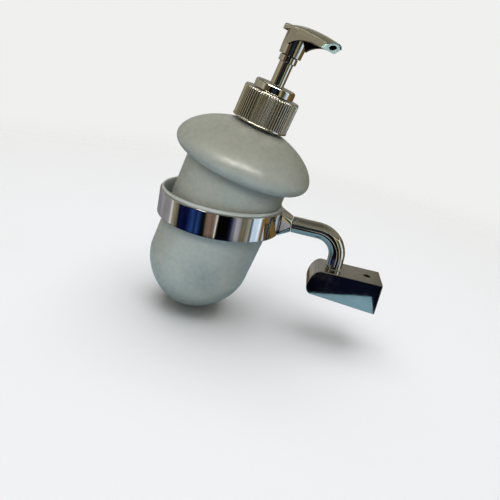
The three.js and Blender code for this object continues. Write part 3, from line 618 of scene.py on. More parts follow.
@dataclass(frozen=True)
class Finish:
    """What a surface is made of and how it was made.

    Attributes:
        name: The material's name.
        slot: The record's slot that it belongs to.
        colour: Its sRGB hex colour.
        roughness: How much it scatters what it mirrors.
        metallic: 1 for a metal surface.
        ior: Refractive index, which a metal leaves at Blender's default.
        patches: Where its colour changes.
        marks: Where its roughness changes; none if that goes with the patches.
        grain: Its relief.
        shade: The colour that the patches go towards.
        reach: The part of the marks' range over which the roughness changes.
        spread: What is added to the roughness at the two ends of that part.
        relief: Height of its finest relief in millimetres.
        relief_strength: How much of that the light shows.
    """

    name: str
    slot: Slot
    colour: str
    roughness: float
    metallic: float = 0.0
    ior: float = 1.5
    patches: Pattern = Pattern(8.0)
    marks: Pattern | None = None
    grain: Pattern = Pattern(0.8, 3.0)
    shade: str = "#808080"
    reach: Point = (0.0, 1.0)
    spread: Point = (0.0, 0.0)
    relief: float = 0.01
    relief_strength: float = 1.0

    def plain(self) -> dict[str, object]:
        """Gives the inputs of the shader that start the same all over."""
        given = {"Base Color": linear(self.colour), "Roughness": self.roughness, "Metallic": self.metallic}
        return given if self.metallic else given | {"IOR": self.ior}

    def material(self) -> bpy.types.Material:
        """Builds the material once and finds it again after that.

        Returns:
            The material.
        """
        known = bpy.data.materials.get(self.name)
        if known:
            return known
        made = bpy.data.materials.new(self.name)
        made.diffuse_color = linear(self.colour)
        tree = cleared(made)
        surface = add_node(tree, "BsdfPrincipled", self.plain())
        add_node(tree, "OutputMaterial", {"Surface": surface})
        where = add_node(tree, "TexCoord").outputs["Object"]
        patches, marks, grain = self.patterns(tree, where)
        ends = {MIX_A: linear(self.colour), MIX_B: linear(self.shade)}
        tone = add_node(tree, "Mix", {"Factor": patches, **ends}, data_type="RGBA")
        tree.links.new(result(tone), surface.inputs["Base Color"])
        span = {"From Min": self.reach[0], "From Max": self.reach[1]}
        span |= {"To Min": self.roughness + self.spread[0], "To Max": self.roughness + self.spread[1]}
        add_node(tree, "MapRange", {"Value": marks, **span}, feeds=surface.inputs["Roughness"])
        bump = {"Height": grain, "Distance": self.relief * MM, "Strength": self.relief_strength}
        add_node(tree, "Bump", bump, feeds=surface.inputs["Normal"])
        self.complete(tree, surface, where, tone, marks)
        return made

    def patterns(self, tree: Tree, where: Socket) -> tuple[Node, Node, Node]:
        """Lays out the finish's patterns.

        Args:
            tree: The material's nodes.
            where: Places on the piece, in metres.

        Returns:
            What changes the colour, what changes the roughness and what raises the relief.
        """
        wanted = (self.patches, self.marks or self.patches, self.grain)
        made: dict[Pattern, Node] = {}
        for each in dict.fromkeys(wanted):
            noise = {"Scale": 1 / (each.size * MM), "Detail": each.detail, "Roughness": each.roughness}
            made[each] = add_node(tree, "TexNoise", {"Vector": where, **noise})
        patches, marks, grain = (made[each] for each in wanted)
        return patches, marks, grain

    def complete(self, tree: Tree, surface: Node, where: Socket, tone: Node, marks: Node) -> None:
        """Adds what only some finishes have.

        Args:
            tree: The material's nodes.
            surface: The shader that the patterns feed.
            where: Places on the piece, in metres.
            tone: The node that gives its colour.
            marks: The pattern that changes its roughness.
        """


@dataclass(frozen=True)
class BrightPlate(Finish):
    """Bright chrome plate: a mirror that slow waves warp a little, with faint smears from wiping."""

    metallic: float = 1.0
    patches: Pattern = Pattern(7.0, 5.0, 0.62)
    grain: Pattern = Pattern(9.0, 1.0, 0.4)
    shade: str = "#BDB9AF"
    reach: Point = (0.42, 0.72)
    spread: Point = (0.0, 0.06)
    relief: float = 0.012


@dataclass(frozen=True)
class Translucent(Finish):
    """A body that light goes into.

    Attributes:
        clear: Share of the light that goes through.
        milk: Share of the rest that goes in and comes out again.
        depth: How far that light wanders in millimetres.
        wander: That distance for red, green and blue, as shares.
    """

    clear: float = 0.0
    milk: float = 0.3
    depth: float = 1.5
    wander: Point3 = (1.0, 1.0, 1.0)

    def plain(self) -> dict[str, object]:
        """Gives the inputs that start the same all over, with those that let the light in.

        Returns:
            A value for the name of each input.
        """
        light = {"Transmission Weight": self.clear, "Subsurface Weight": self.milk}
        light |= {"Subsurface Radius": self.wander, "Subsurface Scale": self.depth * MM}
        return super().plain() | light


@dataclass(frozen=True)
class FrostedGlass(Translucent):
    """Acid-frosted soda glass: an even satin skin over green-grey depth.

    Its patches are slightly darker clouds in the frosting, its marks the faint polished ones that handling
    leaves, and its grain is the etched one, drawn at five times its real 0.1 mm, or it would not show.

    Attributes:
        film: Strength of the glass's mirror where the frosting is bare and where the marks are.
        film_reach: The part of the marks' range over which it changes.
        dark_patch: The middle of a darker patch on the dome, in metres.
        dark_patch_reach: How far that goes in millimetres.
        dark_patch_colour: Its colour.
        dark_patch_depth: How full that colour is in the middle, above 1 as its blotches take some away.
        blotches: Of the darker patch.
    """

    clear: float = 0.1
    milk: float = 0.9
    depth: float = 18.0
    wander: Point3 = (0.9, 1.0, 1.0)
    patches: Pattern = Pattern(22.0, 3.0)
    marks: Pattern = Pattern(3.0, 4.0, 0.6)
    grain: Pattern = Pattern(0.5)
    shade: str = "#767B79"
    reach: Point = (0.4, 0.62)
    spread: Point = (0.04, -0.09)
    relief: float = 0.02
    relief_strength: float = 0.6
    film: Point = (0.3, 0.8)
    film_reach: Point = (0.38, 0.64)
    dark_patch: Point3 = (-0.1085, -0.0305, -0.0055)
    dark_patch_reach: float = 14.0
    dark_patch_colour: str = "#50595B"
    dark_patch_depth: float = 1.3
    blotches: Pattern = Pattern(4.8, 4.0)

    def complete(self, tree: Tree, surface: Node, where: Socket, tone: Node, marks: Node) -> None:
        """Adds the film of the marks and the darker patch on the dome.

        Args:
            tree: The material's nodes.
            surface: The shader that the patterns feed.
            where: Places on the piece, in metres.
            tone: The node that gives its colour.
            marks: The pattern that changes its roughness.
        """
        span = {"From Min": self.film_reach[0], "From Max": self.film_reach[1]}
        span |= {"To Min": self.film[0], "To Max": self.film[1]}
        level = surface.inputs["Specular IOR Level"]
        add_node(tree, "MapRange", {"Value": marks, **span}, feeds=level)
        # Darkens the colour towards a grey-blue round one place on the dome, broken up by blotches.
        away = add_node(tree, "VectorMath", {0: where, 1: self.dark_patch}, operation="DISTANCE")
        span = {"From Max": self.dark_patch_reach * MM, "To Min": self.dark_patch_depth, "To Max": 0.0}
        near = add_node(tree, "MapRange", {"Value": away, **span})
        blotches = {"Scale": 1 / (self.blotches.size * MM), "Detail": self.blotches.detail}
        uneven = add_node(tree, "TexNoise", {"Vector": where, **blotches})
        share = add_node(tree, "Math", {0: near, 1: uneven}, operation="MULTIPLY")
        ends = {MIX_A: tone, MIX_B: linear(self.dark_patch_colour)}
        colour = surface.inputs["Base Color"]
        add_node(tree, "Mix", {"Factor": share, **ends}, data_type="RGBA", feeds=colour)


@dataclass(frozen=True)
class MouldedPlastic(Translucent):
    """Injection moulded plastic: milky and softly lit from within, with the mould's fine texture."""

    shade: str = "#C9CAC2"
    spread: Point = (-0.06, 0.06)
    relief: float = 0.015
    relief_strength: float = 0.7


@dataclass(frozen=True)
class WorkedMetal(Finish):
    """Bare or zinc-coated steel as it comes from the press or the lathe.

    Attributes:
        tooling: Width of the marks that the tool left.
        stretch: How much longer than wide they are.
        spangle: Size of the zinc's patches, or of stains.
    """

    metallic: float = 1.0
    shade: str = "#77797B"
    spread: Point = (-0.1, 0.15)
    relief_strength: float = 0.5
    tooling: float = 0.25
    stretch: float = 12.0
    spangle: float = 3.0

    def patterns(self, tree: Tree, where: Socket) -> tuple[Node, Node, Node]:
        """Lays out what the tool and the coating leave.

        Args:
            tree: The material's nodes.
            where: Places on the piece, in metres.

        Returns:
            The patches, the tool's marks and those again.
        """
        long = add_node(tree, "Mapping", {"Vector": where, "Scale": (1.0, 1.0 / self.stretch, 1.0)})
        tooled = add_node(tree, "TexNoise", {"Vector": long, "Scale": 1 / (self.tooling * MM)})
        spangles = {"Vector": where, "Scale": 1 / (self.spangle * MM)}
        return add_node(tree, "TexVoronoi", spangles), tooled, tooled


# Chrome plate on a polished zinc casting or brass: mirrors hard, nearly neutral.
CAST_CHROME = BrightPlate("chrome_plated_casting", Slot.CHROME, "#D2D2D0", 0.035)
# The waves of plate on moulded ABS are shorter than those on metal.
ABS_WAVES = Pattern(6.0, 1.0, 0.4)
# Bright plate on moulded ABS: the same mirror, warmer, softer and more uneven than on metal.
PLATED_ABS = BrightPlate(
    "chrome_plated_abs", Slot.PLATED, "#D2D0CA", 0.07, grain=ABS_WAVES, relief=0.014, spread=(0.0, 0.09)
)
# The same plate on the head's broad moulded sides, which mirror only soft tones.
PLATED_ABS_SATIN = BrightPlate(
    "chrome_plated_abs_worn", Slot.PLATED, "#D2D0CA", 0.13, grain=ABS_WAVES, relief=0.014, spread=(0.0, 0.12)
)
# Deep in the head's hollow the plate is thin, grey and dull; its colour is also darkened to near black as
# painted shade, where little light reaches.
PLATED_ABS_INSIDE_SHADED = BrightPlate(
    "chrome_plated_abs_thin", Slot.PLATED, "#3A3934", 0.4, grain=ABS_WAVES, shade="#2A2925"
)
# On the fine ribs the plate's mirror is broken up and looks satin.
PLATED_ABS_RIBS = BrightPlate("chrome_plated_abs_ribs", Slot.PLATED, "#C2C0AE", 0.13, relief=0.004)
# Acid-frosted soda-lime glass: satin highlights without an edge, grey-green where it is thick.
GLASS = FrostedGlass("acid_frosted_glass", Slot.GLASS, "#838782", 0.38, ior=1.52)
# Flexible PVC liner: milky grey-green, half see-through, with a soft wet highlight.
LINER = MouldedPlastic(
    "flexible_pvc_liner", Slot.LINER, "#CFD7D1", 0.36, ior=1.53, shade="#C2CBC5", relief=0.01,
    patches=Pattern(15.0), grain=Pattern(1.5, 3.0), clear=0.1, milk=0.9, depth=9.0,
)
# Uncoloured polypropylene, as moulded: waxy and milky.
NATURAL_PP = MouldedPlastic("natural_polypropylene", Slot.NATURAL, "#DEDFD8", 0.42, ior=1.49)
# Soft uncoloured polyethylene of the piston, gasket and tube: waxier and duller still.
NATURAL_PE = MouldedPlastic(
    "natural_polyethylene", Slot.NATURAL, "#E2E2DA", 0.5, ior=1.51, milk=0.4, clear=0.15
)
# Polypropylene with an aqua tint, moulded with a gloss: cool and bright against the plate.
AQUA_PP = MouldedPlastic(
    "aqua_polypropylene", Slot.NOZZLE, "#BEDAD8", 0.4, ior=1.49, shade="#B2D4D0", relief=0.003,
    patches=Pattern(7.0), grain=Pattern(0.7, 3.0), milk=0.0,
)
# Painted shade: the outlet's deep bore is coloured near black, as no light comes back out of it.
AQUA_PP_BORE_SHADE = MouldedPlastic(
    "aqua_polypropylene_bore", Slot.NOZZLE, "#050807", 0.9, ior=1.1, milk=0.0, shade="#030504"
)
# Zinc-coated pressed steel: dull silver with faint patches.
ZINC = WorkedMetal("zinc_coated_steel", Slot.ZINC, "#9C9FA1", 0.42)
# Blackened alloy steel of the set screw: near black with a brown sheen.
BLACKENED = WorkedMetal("blackened_steel", Slot.STEEL, "#3B352B", 0.3, shade="#24211C")
# Turned stainless steel: brighter, with fine turning marks.
STAINLESS = WorkedMetal("turned_stainless_steel", Slot.STEEL, "#B4B5B5", 0.26, shade="#9A9B9C")


# Sub-assemblies


@dataclass
class SubAssembly:
    """Pieces that share a frame.

    Attributes:
        place: Where their frame lies in the shared one, in metres.
        body: The body that carries them.
    """

    place: Matrix
    body: Body

    def add(
        self,
        draft: Draft,
        name: str,
        finish: Finish,
        stands_for: str = "",
        second: Finish | None = None,
        sharp: float = 0.0,
    ) -> bpy.types.Object:
        """Makes a dressed piece that rides on its body.

        Args:
            draft: Its shape.
            name: Its name.
            finish: Its finish.
            stands_for: The CAD node that it stands for, if any.
            second: The finish of the faces that are marked for it.
            sharp: Edges that turn by more than this many degrees stay sharp; 0 leaves all smooth.

        Returns:
            The piece.
        """
        piece = placed(name, draft.mesh(name, self.place))
        for each in (finish, second):
            if each:
                piece.data.materials.append(each.material())
        if sharp:
            piece.data.set_sharp_from_angle(angle=math.radians(sharp))
        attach(piece, self.body.value)
        if stands_for:
            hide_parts(stands_for)
        LOG.info("%s: %d faces, %s", name, len(piece.data.polygons), finish.name)
        return piece

    def cutter(self, draft: Draft) -> bpy.types.Object:
        """Makes a bare object that only serves to cut another."""
        return placed("cutter", draft.mesh("cutter", self.place))

    def dress(self, finish: Finish, *nodes: str) -> None:
        """Gives CAD nodes that stay as they are their finish.

        Args:
            finish: The finish.
            nodes: Names of the nodes.
        """
        for node in nodes:
            piece = frame["nodes"][node]
            piece.data.materials.clear()
            piece.data.materials.append(finish.material())
            LOG.info("%s: as packed, %s", node, finish.name)

    def ease(self, piece: bpy.types.Object, width: float, degrees: float = 30) -> None:
        """Rounds a piece's edges a little, as plating does.

        Args:
            piece: The piece.
            width: Width of the rounding in millimetres.
            degrees: Only edges that turn by more than this are rounded.
        """
        bevel = piece.modifiers.new("eased_edges", "BEVEL")
        bevel.width, bevel.segments, bevel.limit_method = width * MM, 3, "ANGLE"
        bevel.angle_limit = math.radians(degrees)
        bevel.harden_normals = True
        flat = piece.modifiers.new("flat_faces", "WEIGHTED_NORMAL")
        flat.keep_sharp = True


@dataclass
class RingHolder(SubAssembly):
    """The band with its lug, the liner in it and the bent arm.

    Attributes:
        band_inner: Radius of the band's bore.
        band_height: Its height.
        band_wall: Its thickness.
        edge: Rounding of its outer rims.
        inner_edge: Rounding of its inner ones.
        liner_bore: Radius of the liner's bore.
        liner_wall: The liner's thickness.
        lip_height: How far the lip stands above the band.
        lip_inset: How far it stays inside the band's outside.
        lip_step: How much lower its outer bead is.
        lug_length: From the band to the arm.
        lug_width: Of the lug at the band.
        lug_corner: Rounding of its corners there.
        lug_chamfer: Length of the chamfer round its end.
        lug_end: Size of its end face, as a share of its section there.
        arm_radius: Of the round arm.
        bend_radius: Of its bend's middle line.
        post: Where the arm goes down, from the ring's middle.
        drop: From the ring's middle down to the block's top.
        seat: How far the arm goes into the block.
        gap: Between fixed neighbours.
    """

    band_inner: float
    band_height: float = 15.2
    band_wall: float = 1.2
    edge: float = 0.4
    inner_edge: float = 0.2
    liner_bore: float = 36.81
    liner_wall: float = 0.8
    lip_height: float = 1.8
    lip_inset: float = 0.9
    lip_step: float = 0.3
    lug_length: float = 7.0
    lug_width: float = 15.0
    lug_corner: float = 1.2
    lug_chamfer: float = 0.15
    lug_end: float = 0.97
    arm_radius: float = 5.15
    bend_radius: float = 15.3
    post: float = 78.5
    drop: float = 21.9
    seat: float = 6.0
    gap: float = 0.3

    def build(self) -> None:
        """Builds the ring's pieces."""
        self.band()
        self.liner()
        self.arm()
        self.dress(STAINLESS, "ring_screw")

    @property
    def band_outer(self) -> float:
        """Radius of the band's outside."""
        return self.band_inner + self.band_wall

    def band(self) -> None:
        """Builds the band and the lug that grows out of it."""
        half, e = self.band_height / 2, self.edge
        inner, outer = self.band_inner, self.band_outer
        start, end = inner + self.inner_edge, outer + self.lug_length
        corners = [(inner, -half, self.inner_edge), (outer, -half, e)]
        corners += [(outer, half, e), (inner, half, self.inner_edge)]
        draft = Draft().lathed(corners, 5, FINE)
        loops: list[Loop] = []
        for share in steps(0, 1, 18):
            x = mix(start, end, share)
            along = max(0.0, (x - outer) / self.lug_length)
            half_width = mix(self.lug_width / 2, self.arm_radius, along)
            half_height = mix(half - e, self.arm_radius, along)
            radius = mix(self.lug_corner, self.arm_radius - HAIR, along)
            loops.append(across(rounded(half_width, half_height, radius), x))
        rim = loops.pop()
        middle = Vector((end, 0, 0))
        loops.append([p - Vector((self.lug_chamfer, 0, 0)) for p in rim])
        loops.append([middle + (p - middle) * self.lug_end for p in rim])
        self.add(draft.skin(loops), "ring_band_and_lug", CAST_CHROME, "ring_band", sharp=50)

    def liner(self) -> None:
        """Builds the liner: a sleeve under a lip with a groove between two rounded beads."""
        half = self.band_height / 2
        bore, sleeve = self.liner_bore, self.liner_bore + self.liner_wall
        outer = self.band_outer - self.lip_inset
        bead = (outer - bore) / 2
        low, high = half + self.gap, half + self.lip_height
        rise = (high - low) / 2
        middles = [(outer - bead / 2, high - rise - self.lip_step), (bore + bead / 2, high - rise)]
        over, inside = (arc(middle, bead / 2, rise, 0, math.pi, 14) for middle in middles)
        within, without, under = 0.2, 0.15, 0.1  # chamfers of the foot's two edges and of the lip's
        profile = [(bore, within - half), (bore + within, -half), (sleeve - without, -half)]
        profile += [(sleeve, without - half), (sleeve, low), (outer - under, low), (outer, low + under)]
        profile += [*over, *inside[1:]]
        self.add(Draft().turned(profile, FINE), "ring_liner_soft", LINER, "ring_liner")

    def arm(self) -> None:
        """Builds the arm and the thin bead of lacquer and metal round its foot."""
        r, bend = self.arm_radius, self.bend_radius
        turn = self.post - bend
        start = self.band_outer + self.lug_length + self.gap
        foot = -self.drop - self.seat + self.gap
        # The bar's end is eased over its first points, as places along it and shares of its radius.
        eased = ((0, 0.93), (0.12, 0.975), (0.35, 0.995), (0.7, 1.0))
        line = [(start + place, 0) for place, _ in eased]
        line += [(x, 0) for x in steps(start + 2, turn, 4)[:-1]]
        line += arc((turn, -bend), bend, bend, math.pi / 2, 0, 36)
        line += [(self.post, z) for z in steps(-bend - 1, foot, 4)]
        shares = [share for _, share in eased] + [1.0] * (len(line) - len(eased))
        loops = swept([Vector((x, 0, z)) for x, z in line], lambda i: circle(r * shares[i], 64))
        self.add(Draft().skin(loops), "arm_bent_bar", CAST_CHROME, "arm")
        # The bead's section, as how far out from the arm and how far up from the block.
        bead = ((0.02, 0.05), (0.62, 0.05), (0.5, 0.22), (0.22, 0.4), (0.02, 0.62))
        seam = Draft().turned([(r + out, up) for out, up in bead], 64).move(self.post, 0, -self.drop)
        self.add(seam, "arm_foot_bead", CAST_CHROME)


@dataclass
class WallMount(SubAssembly):
    """The cast block on the wall with its set screw; its bracket stays as packed.

    Attributes:
        length: Of the block, out from the wall.
        width: Across.
        height: Up, at the nose.
        fall: How much lower the underside is at the wall.
        wall: Thickness round the pocket.
        nose_length: How far the nose's upper rounding reaches.
        nose_drop: How far down it goes.
        heel_length: How far the rounding below it reaches.
        pocket: Depth of the pocket for the bracket.
        edge: Rounding of the two sides' edges.
        arm_at: The arm's socket, from the wall.
        arm_radius: Of the arm in it.
        arm_depth: Depth of the socket.
        screw_at: The set screw, from the wall.
        screw_radius: Its radius.
        screw_sunk: How far its top lies below the block's.
        screw_foot: Height of its foot.
        key_radius: Of its key hole, to the corners.
        key_depth: Depth of that hole.
        gap: Between fixed neighbours.
    """

    length: float = 45.4
    width: float = 22.6
    height: float = 16.8
    fall: float = 3.4
    wall: float = 2.2
    nose_length: float = 7.7
    nose_drop: float = 11.9
    heel_length: float = 3.6
    pocket: float = 19.0
    edge: float = 0.45
    arm_at: float = 30.8
    arm_radius: float = 5.15
    arm_depth: float = 6.0
    screw_at: float = 9.0
    screw_radius: float = 2.1
    screw_sunk: float = 0.7
    screw_foot: float = 3.0
    key_radius: float = 1.1
    key_depth: float = 1.6
    gap: float = 0.3

    def build(self) -> None:
        """Builds the block and its screw and dresses the bracket."""
        self.block()
        self.set_screw()
        self.dress(ZINC, "wall_bracket")

    def outline(self) -> list[Point]:
        """Gives the block's side view.

        Returns:
            Places out from the wall and up.
        """
        top, turn, quarter = self.height / 2, self.height / 2 - self.nose_drop, math.pi / 2
        at = [(reach - self.length, turn) for reach in (self.nose_length, self.heel_length)]
        nose = arc(at[0], self.nose_length, top - turn, quarter, 2 * quarter, 48)
        heel = arc(at[1], self.heel_length, turn + top, 2 * quarter, 3 * quarter, 12)
        return [(0.0, -top - self.fall), (0.0, top), *nose, *heel[1:]]

    def block(self) -> None:
        """Builds the block with its pocket, socket and screw hole."""
        half, top = self.width / 2, self.height / 2
        body = Draft().slab(self.outline(), -half, half).turn(90, "X")
        block = self.add(body, "wall_block_cast", CAST_CHROME, "wall_block")
        side, rise = half - self.wall, top - self.wall
        plan = [(-self.pocket, -side), (1, -side), (1, side), (-self.pocket, side)]
        cutters = [self.cutter(Draft().slab(plan, -rise, rise))]
        holes = [(self.arm_at, self.arm_radius, top - self.arm_depth, ROUND)]
        holes += [(self.screw_at, self.screw_radius, rise - 1, SMALL)]
        for at, inner, low, segments in holes:
            r = inner + self.gap
            profile = [(0, low), (r, low), (r, top + 1), (0, top + 1)]
            cutters.append(self.cutter(Draft().turned(profile, segments).move(-at, 0, 0)))
        carve(block, cutters)
        block.data.shade_smooth()
        self.ease(block, self.edge)

    def set_screw(self) -> None:
        """Builds the headless screw with its six-sided key hole."""
        top, foot = self.height / 2 - self.screw_sunk, self.screw_foot

        def ring(radius: float, height: float, bore: Bore = Bore.ROUND) -> Loop:
            """Lays out a ring.

            Args:
                radius: Of its corners.
                height: Where it lies.
                bore: Its plan.

            Returns:
                Its points.
            """
            loop = level(circle(radius, SMALL), height)
            for point in loop if bore is Bore.HEXAGON else ():
                sixth = 2 * math.pi / bore.value
                turn = math.atan2(point.y, point.x) % sixth - sixth / 2
                point.xy *= math.cos(sixth / 2) / math.cos(turn)
            return loop

        # From the foot's flat over the chamfers of both ends to the key hole's floor.
        r, key = self.screw_radius, self.key_radius
        loops = [ring(0.4 * r, foot), ring(0.7 * r, foot), ring(r, foot + 0.6), ring(r, top - 0.3)]
        loops += [ring(r - 0.25, top), ring(key + 0.12, top)]
        loops += [ring(key, z, Bore.HEXAGON) for z in (top - 0.1, top - self.key_depth)]
        draft = Draft().skin(loops).move(-self.screw_at, 0, 0)
        self.add(draft, "set_screw_hex", BLACKENED, "set_screw", sharp=35)


@dataclass
class GlassBottle(SubAssembly):
    """The blown and frosted bottle: wide shoulder, straight body, domed foot, threaded neck.

    Attributes:
        radius: Of the straight body.
        wall: Thickness of the glass.
        shoulder: Radius of the widest line.
        rise: From the widest line up to the neck's foot.
        undercut: From the widest line down to the crease.
        length: From the crease down to the dome.
        dome: Height of the dome.
        neck: Radius of the neck.
        bore: Radius of its bore.
        neck_height: Above the collar's underside.
        thread_low: Height where the thread starts.
        thread_pitch: Its climb in a turn.
        thread_turns: Number of its turns.
        thread_proud: How far it stands out.
        tuck: Radius of the fillet in the crease.
        tuck_support: From there down to a line of points that keeps the body straight.
        shoulder_power: Fullness of the shoulder's curve.
        dome_power: Fullness of the dome's.
    """

    radius: float = 32.8
    wall: float = 3.4
    shoulder: float = 43.2
    rise: float = 22.4
    undercut: float = 7.6
    length: float = 65.7
    dome: float = 33.4
    neck: float = 12.6
    bore: float = 9.6
    neck_height: float = 13.5
    thread_low: float = 4.0
    thread_pitch: float = 3.0
    thread_turns: float = 1.6
    thread_proud: float = 0.35
    tuck: float = 0.5
    tuck_support: float = 0.3
    shoulder_power: float = 1.8
    dome_power: float = 1.76

    def build(self) -> None:
        """Builds the glass and its thread."""
        outer = self.outline(0, self.neck, (44, 14, 44))
        inner = self.outline(self.wall, self.bore, (32, 10, 32))
        high = self.neck_height
        corners = [(self.neck, 0, 0), (self.neck, high, 0.5), (self.bore, high, 0.5), (self.bore, 0, 0)]
        draft = Draft().turned([*outer[::-1], *softened(corners)[1:-1], *inner], FINE)
        self.add(draft, "bottle_glass", GLASS, "bottle")
        shape = (self.thread_low, self.thread_pitch, self.thread_turns, self.thread_proud)
        thread = Draft().thread(self.neck, *shape)
        self.add(thread, "bottle_neck_thread", GLASS)

    def outline(self, wall: float, neck: float, counts: tuple[int, int, int]) -> list[Point]:
        """Gives the glass's section from the neck's foot to the bottom.

        Args:
            wall: How far it is set in from the outside.
            neck: Radius at the neck.
            counts: Steps of shoulder, undercut and dome.

        Returns:
            Radius and height of each point.
        """
        widest, radius, tuck = self.shoulder - wall, self.radius - wall, self.tuck
        crease = self.rise + self.undercut - wall
        foot = self.rise + self.undercut + self.length
        fullness, quarter = 2 / self.shoulder_power, math.pi / 2
        at_neck = math.acos((neck / widest) ** (1 / fullness))
        at_rim = (0, -self.rise)
        shoulder = arc(at_rim, widest, self.rise - wall, at_neck, 0, counts[0], fullness)
        under = arc(at_rim, widest - radius, self.rise - crease, 0, quarter, counts[1])[1:-1]
        under = [(radius + x, z) for x, z in under]
        crook = arc((radius + tuck, -crease - tuck), tuck, tuck, quarter, 2 * quarter, 4)
        straight = -crease - tuck - self.tuck_support
        body = [(radius, h) for h in steps(straight, -foot, 12)[:-1]]
        fullness = 2 / self.dome_power
        dome = arc((0, -foot), radius, wall - self.dome, 0, quarter, counts[2], fullness)
        dome[-1] = (0.0, dome[-1][1])
        return [*shoulder, *under, *crook, *body, *dome]


@dataclass
class ScrewCollar(SubAssembly):
    """The plated closure with its ribs, and the threaded insert inside it.

    Attributes:
        radius: Over the ribs.
        height: Of the collar.
        wall: Its thickness, ribs and all.
        top: Thickness of its top.
        ribs: Number of ribs.
        rib_depth: How deep the grooves between them are.
        rib_power: Below 1 makes the ribs fuller.
        bead: Height of the plain bead below.
        bead_out: How far it stands out past the ribs.
        rim: Height of the plain rim above.
        rim_out: How far it stands out past the grooves.
        edge: Rounding of its upper edge.
        hole: Radius of the hole in the top.
        insert_bore: Radius inside the insert.
        thread_low: Height where its thread starts.
        thread_pitch: The thread's climb in a turn.
        thread_turns: Number of its turns.
        thread_proud: How far it stands in.
    """

    radius: float = 17.0
    height: float = 19.0
    wall: float = 1.4
    top: float = 1.8
    ribs: int = 64
    rib_depth: float = 0.55
    rib_power: float = 0.8
    bead: float = 1.0
    bead_out: float = 0.25
    rim: float = 0.6
    rim_out: float = 0.3
    edge: float = 0.35
    hole: float = 8.9
    insert_bore: float = 13.3
    thread_low: float = 2.5
    thread_pitch: float = 3.0
    thread_turns: float = 2.2
    thread_proud: float = 0.35

    def build(self) -> None:
        """Builds the collar and the insert's thread."""
        self.shell()
        shape = (self.thread_low, self.thread_pitch, self.thread_turns, -self.thread_proud)
        thread = Draft().thread(self.insert_bore, *shape)
        self.add(thread, "collar_insert_thread", NATURAL_PP)
        self.dress(NATURAL_PP, "collar_insert")

    def shell(self) -> None:
        """Builds the ribbed shell in one skin, ring by ring."""
        per_rib = 8
        count = self.ribs * per_rib
        root, full, eased = self.radius - self.rib_depth, self.rib_depth, self.edge
        inside, top, under = self.radius - self.wall, self.height, self.height - self.top
        edge, rib_top = root + self.rim_out, top - self.rim
        quarter = math.pi / 2
        # Each spoke has a direction and a share, 1 on the middle of a rib and 0 in a groove.
        swell = (0.5 + 0.5 * math.cos(2 * math.pi * i / per_rib) for i in range(count))
        spokes = [(x, y, out**self.rib_power) for (x, y), out in zip(circle(1, count), swell, strict=True)]

        def ring(radius: float, height: float, depth: float = 0.0) -> Loop:
            """A ring that stands out by depth on each rib."""
            reached = ((x, y, radius + depth * out) for x, y, out in spokes)
            return level([(r * x, r * y) for x, y, r in reached], height)

        middle = (self.radius, self.bead / 2)
        bead = arc(middle, self.bead_out, self.bead / 2, 0.15 - quarter, quarter - 0.4, 8)
        # The ribs rise out of the bead and sink into the rim.
        ribs = [(self.bead, full * 0.55), (self.bead + 0.2, full)]
        ribs += [(z, full) for z in steps(self.bead + 0.3, rib_top - 0.45, 6)]
        ribs += [(rib_top - 0.2, full * 0.75), (rib_top, full * 0.25)]
        rim = arc((edge - eased, top - eased), eased, eased, 0, quarter, 4)
        # Over the top, down the hole's wall and out under the top, with a small chamfer at each edge.
        over = [(root - 0.8, top), (self.hole + 0.3, top), (self.hole + 0.1, top)]
        over += [(self.hole, top - 0.1), (self.hole, under), (self.hole + 0.4, under)]
        over += [(inside - 0.4, under), (inside, under - 0.3)]
        loops = [ring(inside, 0.25), ring(inside + 0.25, 0.0), ring(self.radius - 0.25, 0.0)]
        loops += [ring(r, z) for r, z in bead]
        loops += [ring(root, z, depth) for z, depth in ribs]
        loops += [ring(r, z) for r, z in [(edge, rib_top + 0.1), *rim, *over]]
        draft = Draft().skin(loops, capped=False)
        draft.second_finish(lambda p: p.xy.length > root - 0.1 and self.bead < p.z < rib_top - 0.2)
        self.add(draft, "collar_ribbed", PLATED_ABS, "collar", second=PLATED_ABS_RIBS, sharp=60)


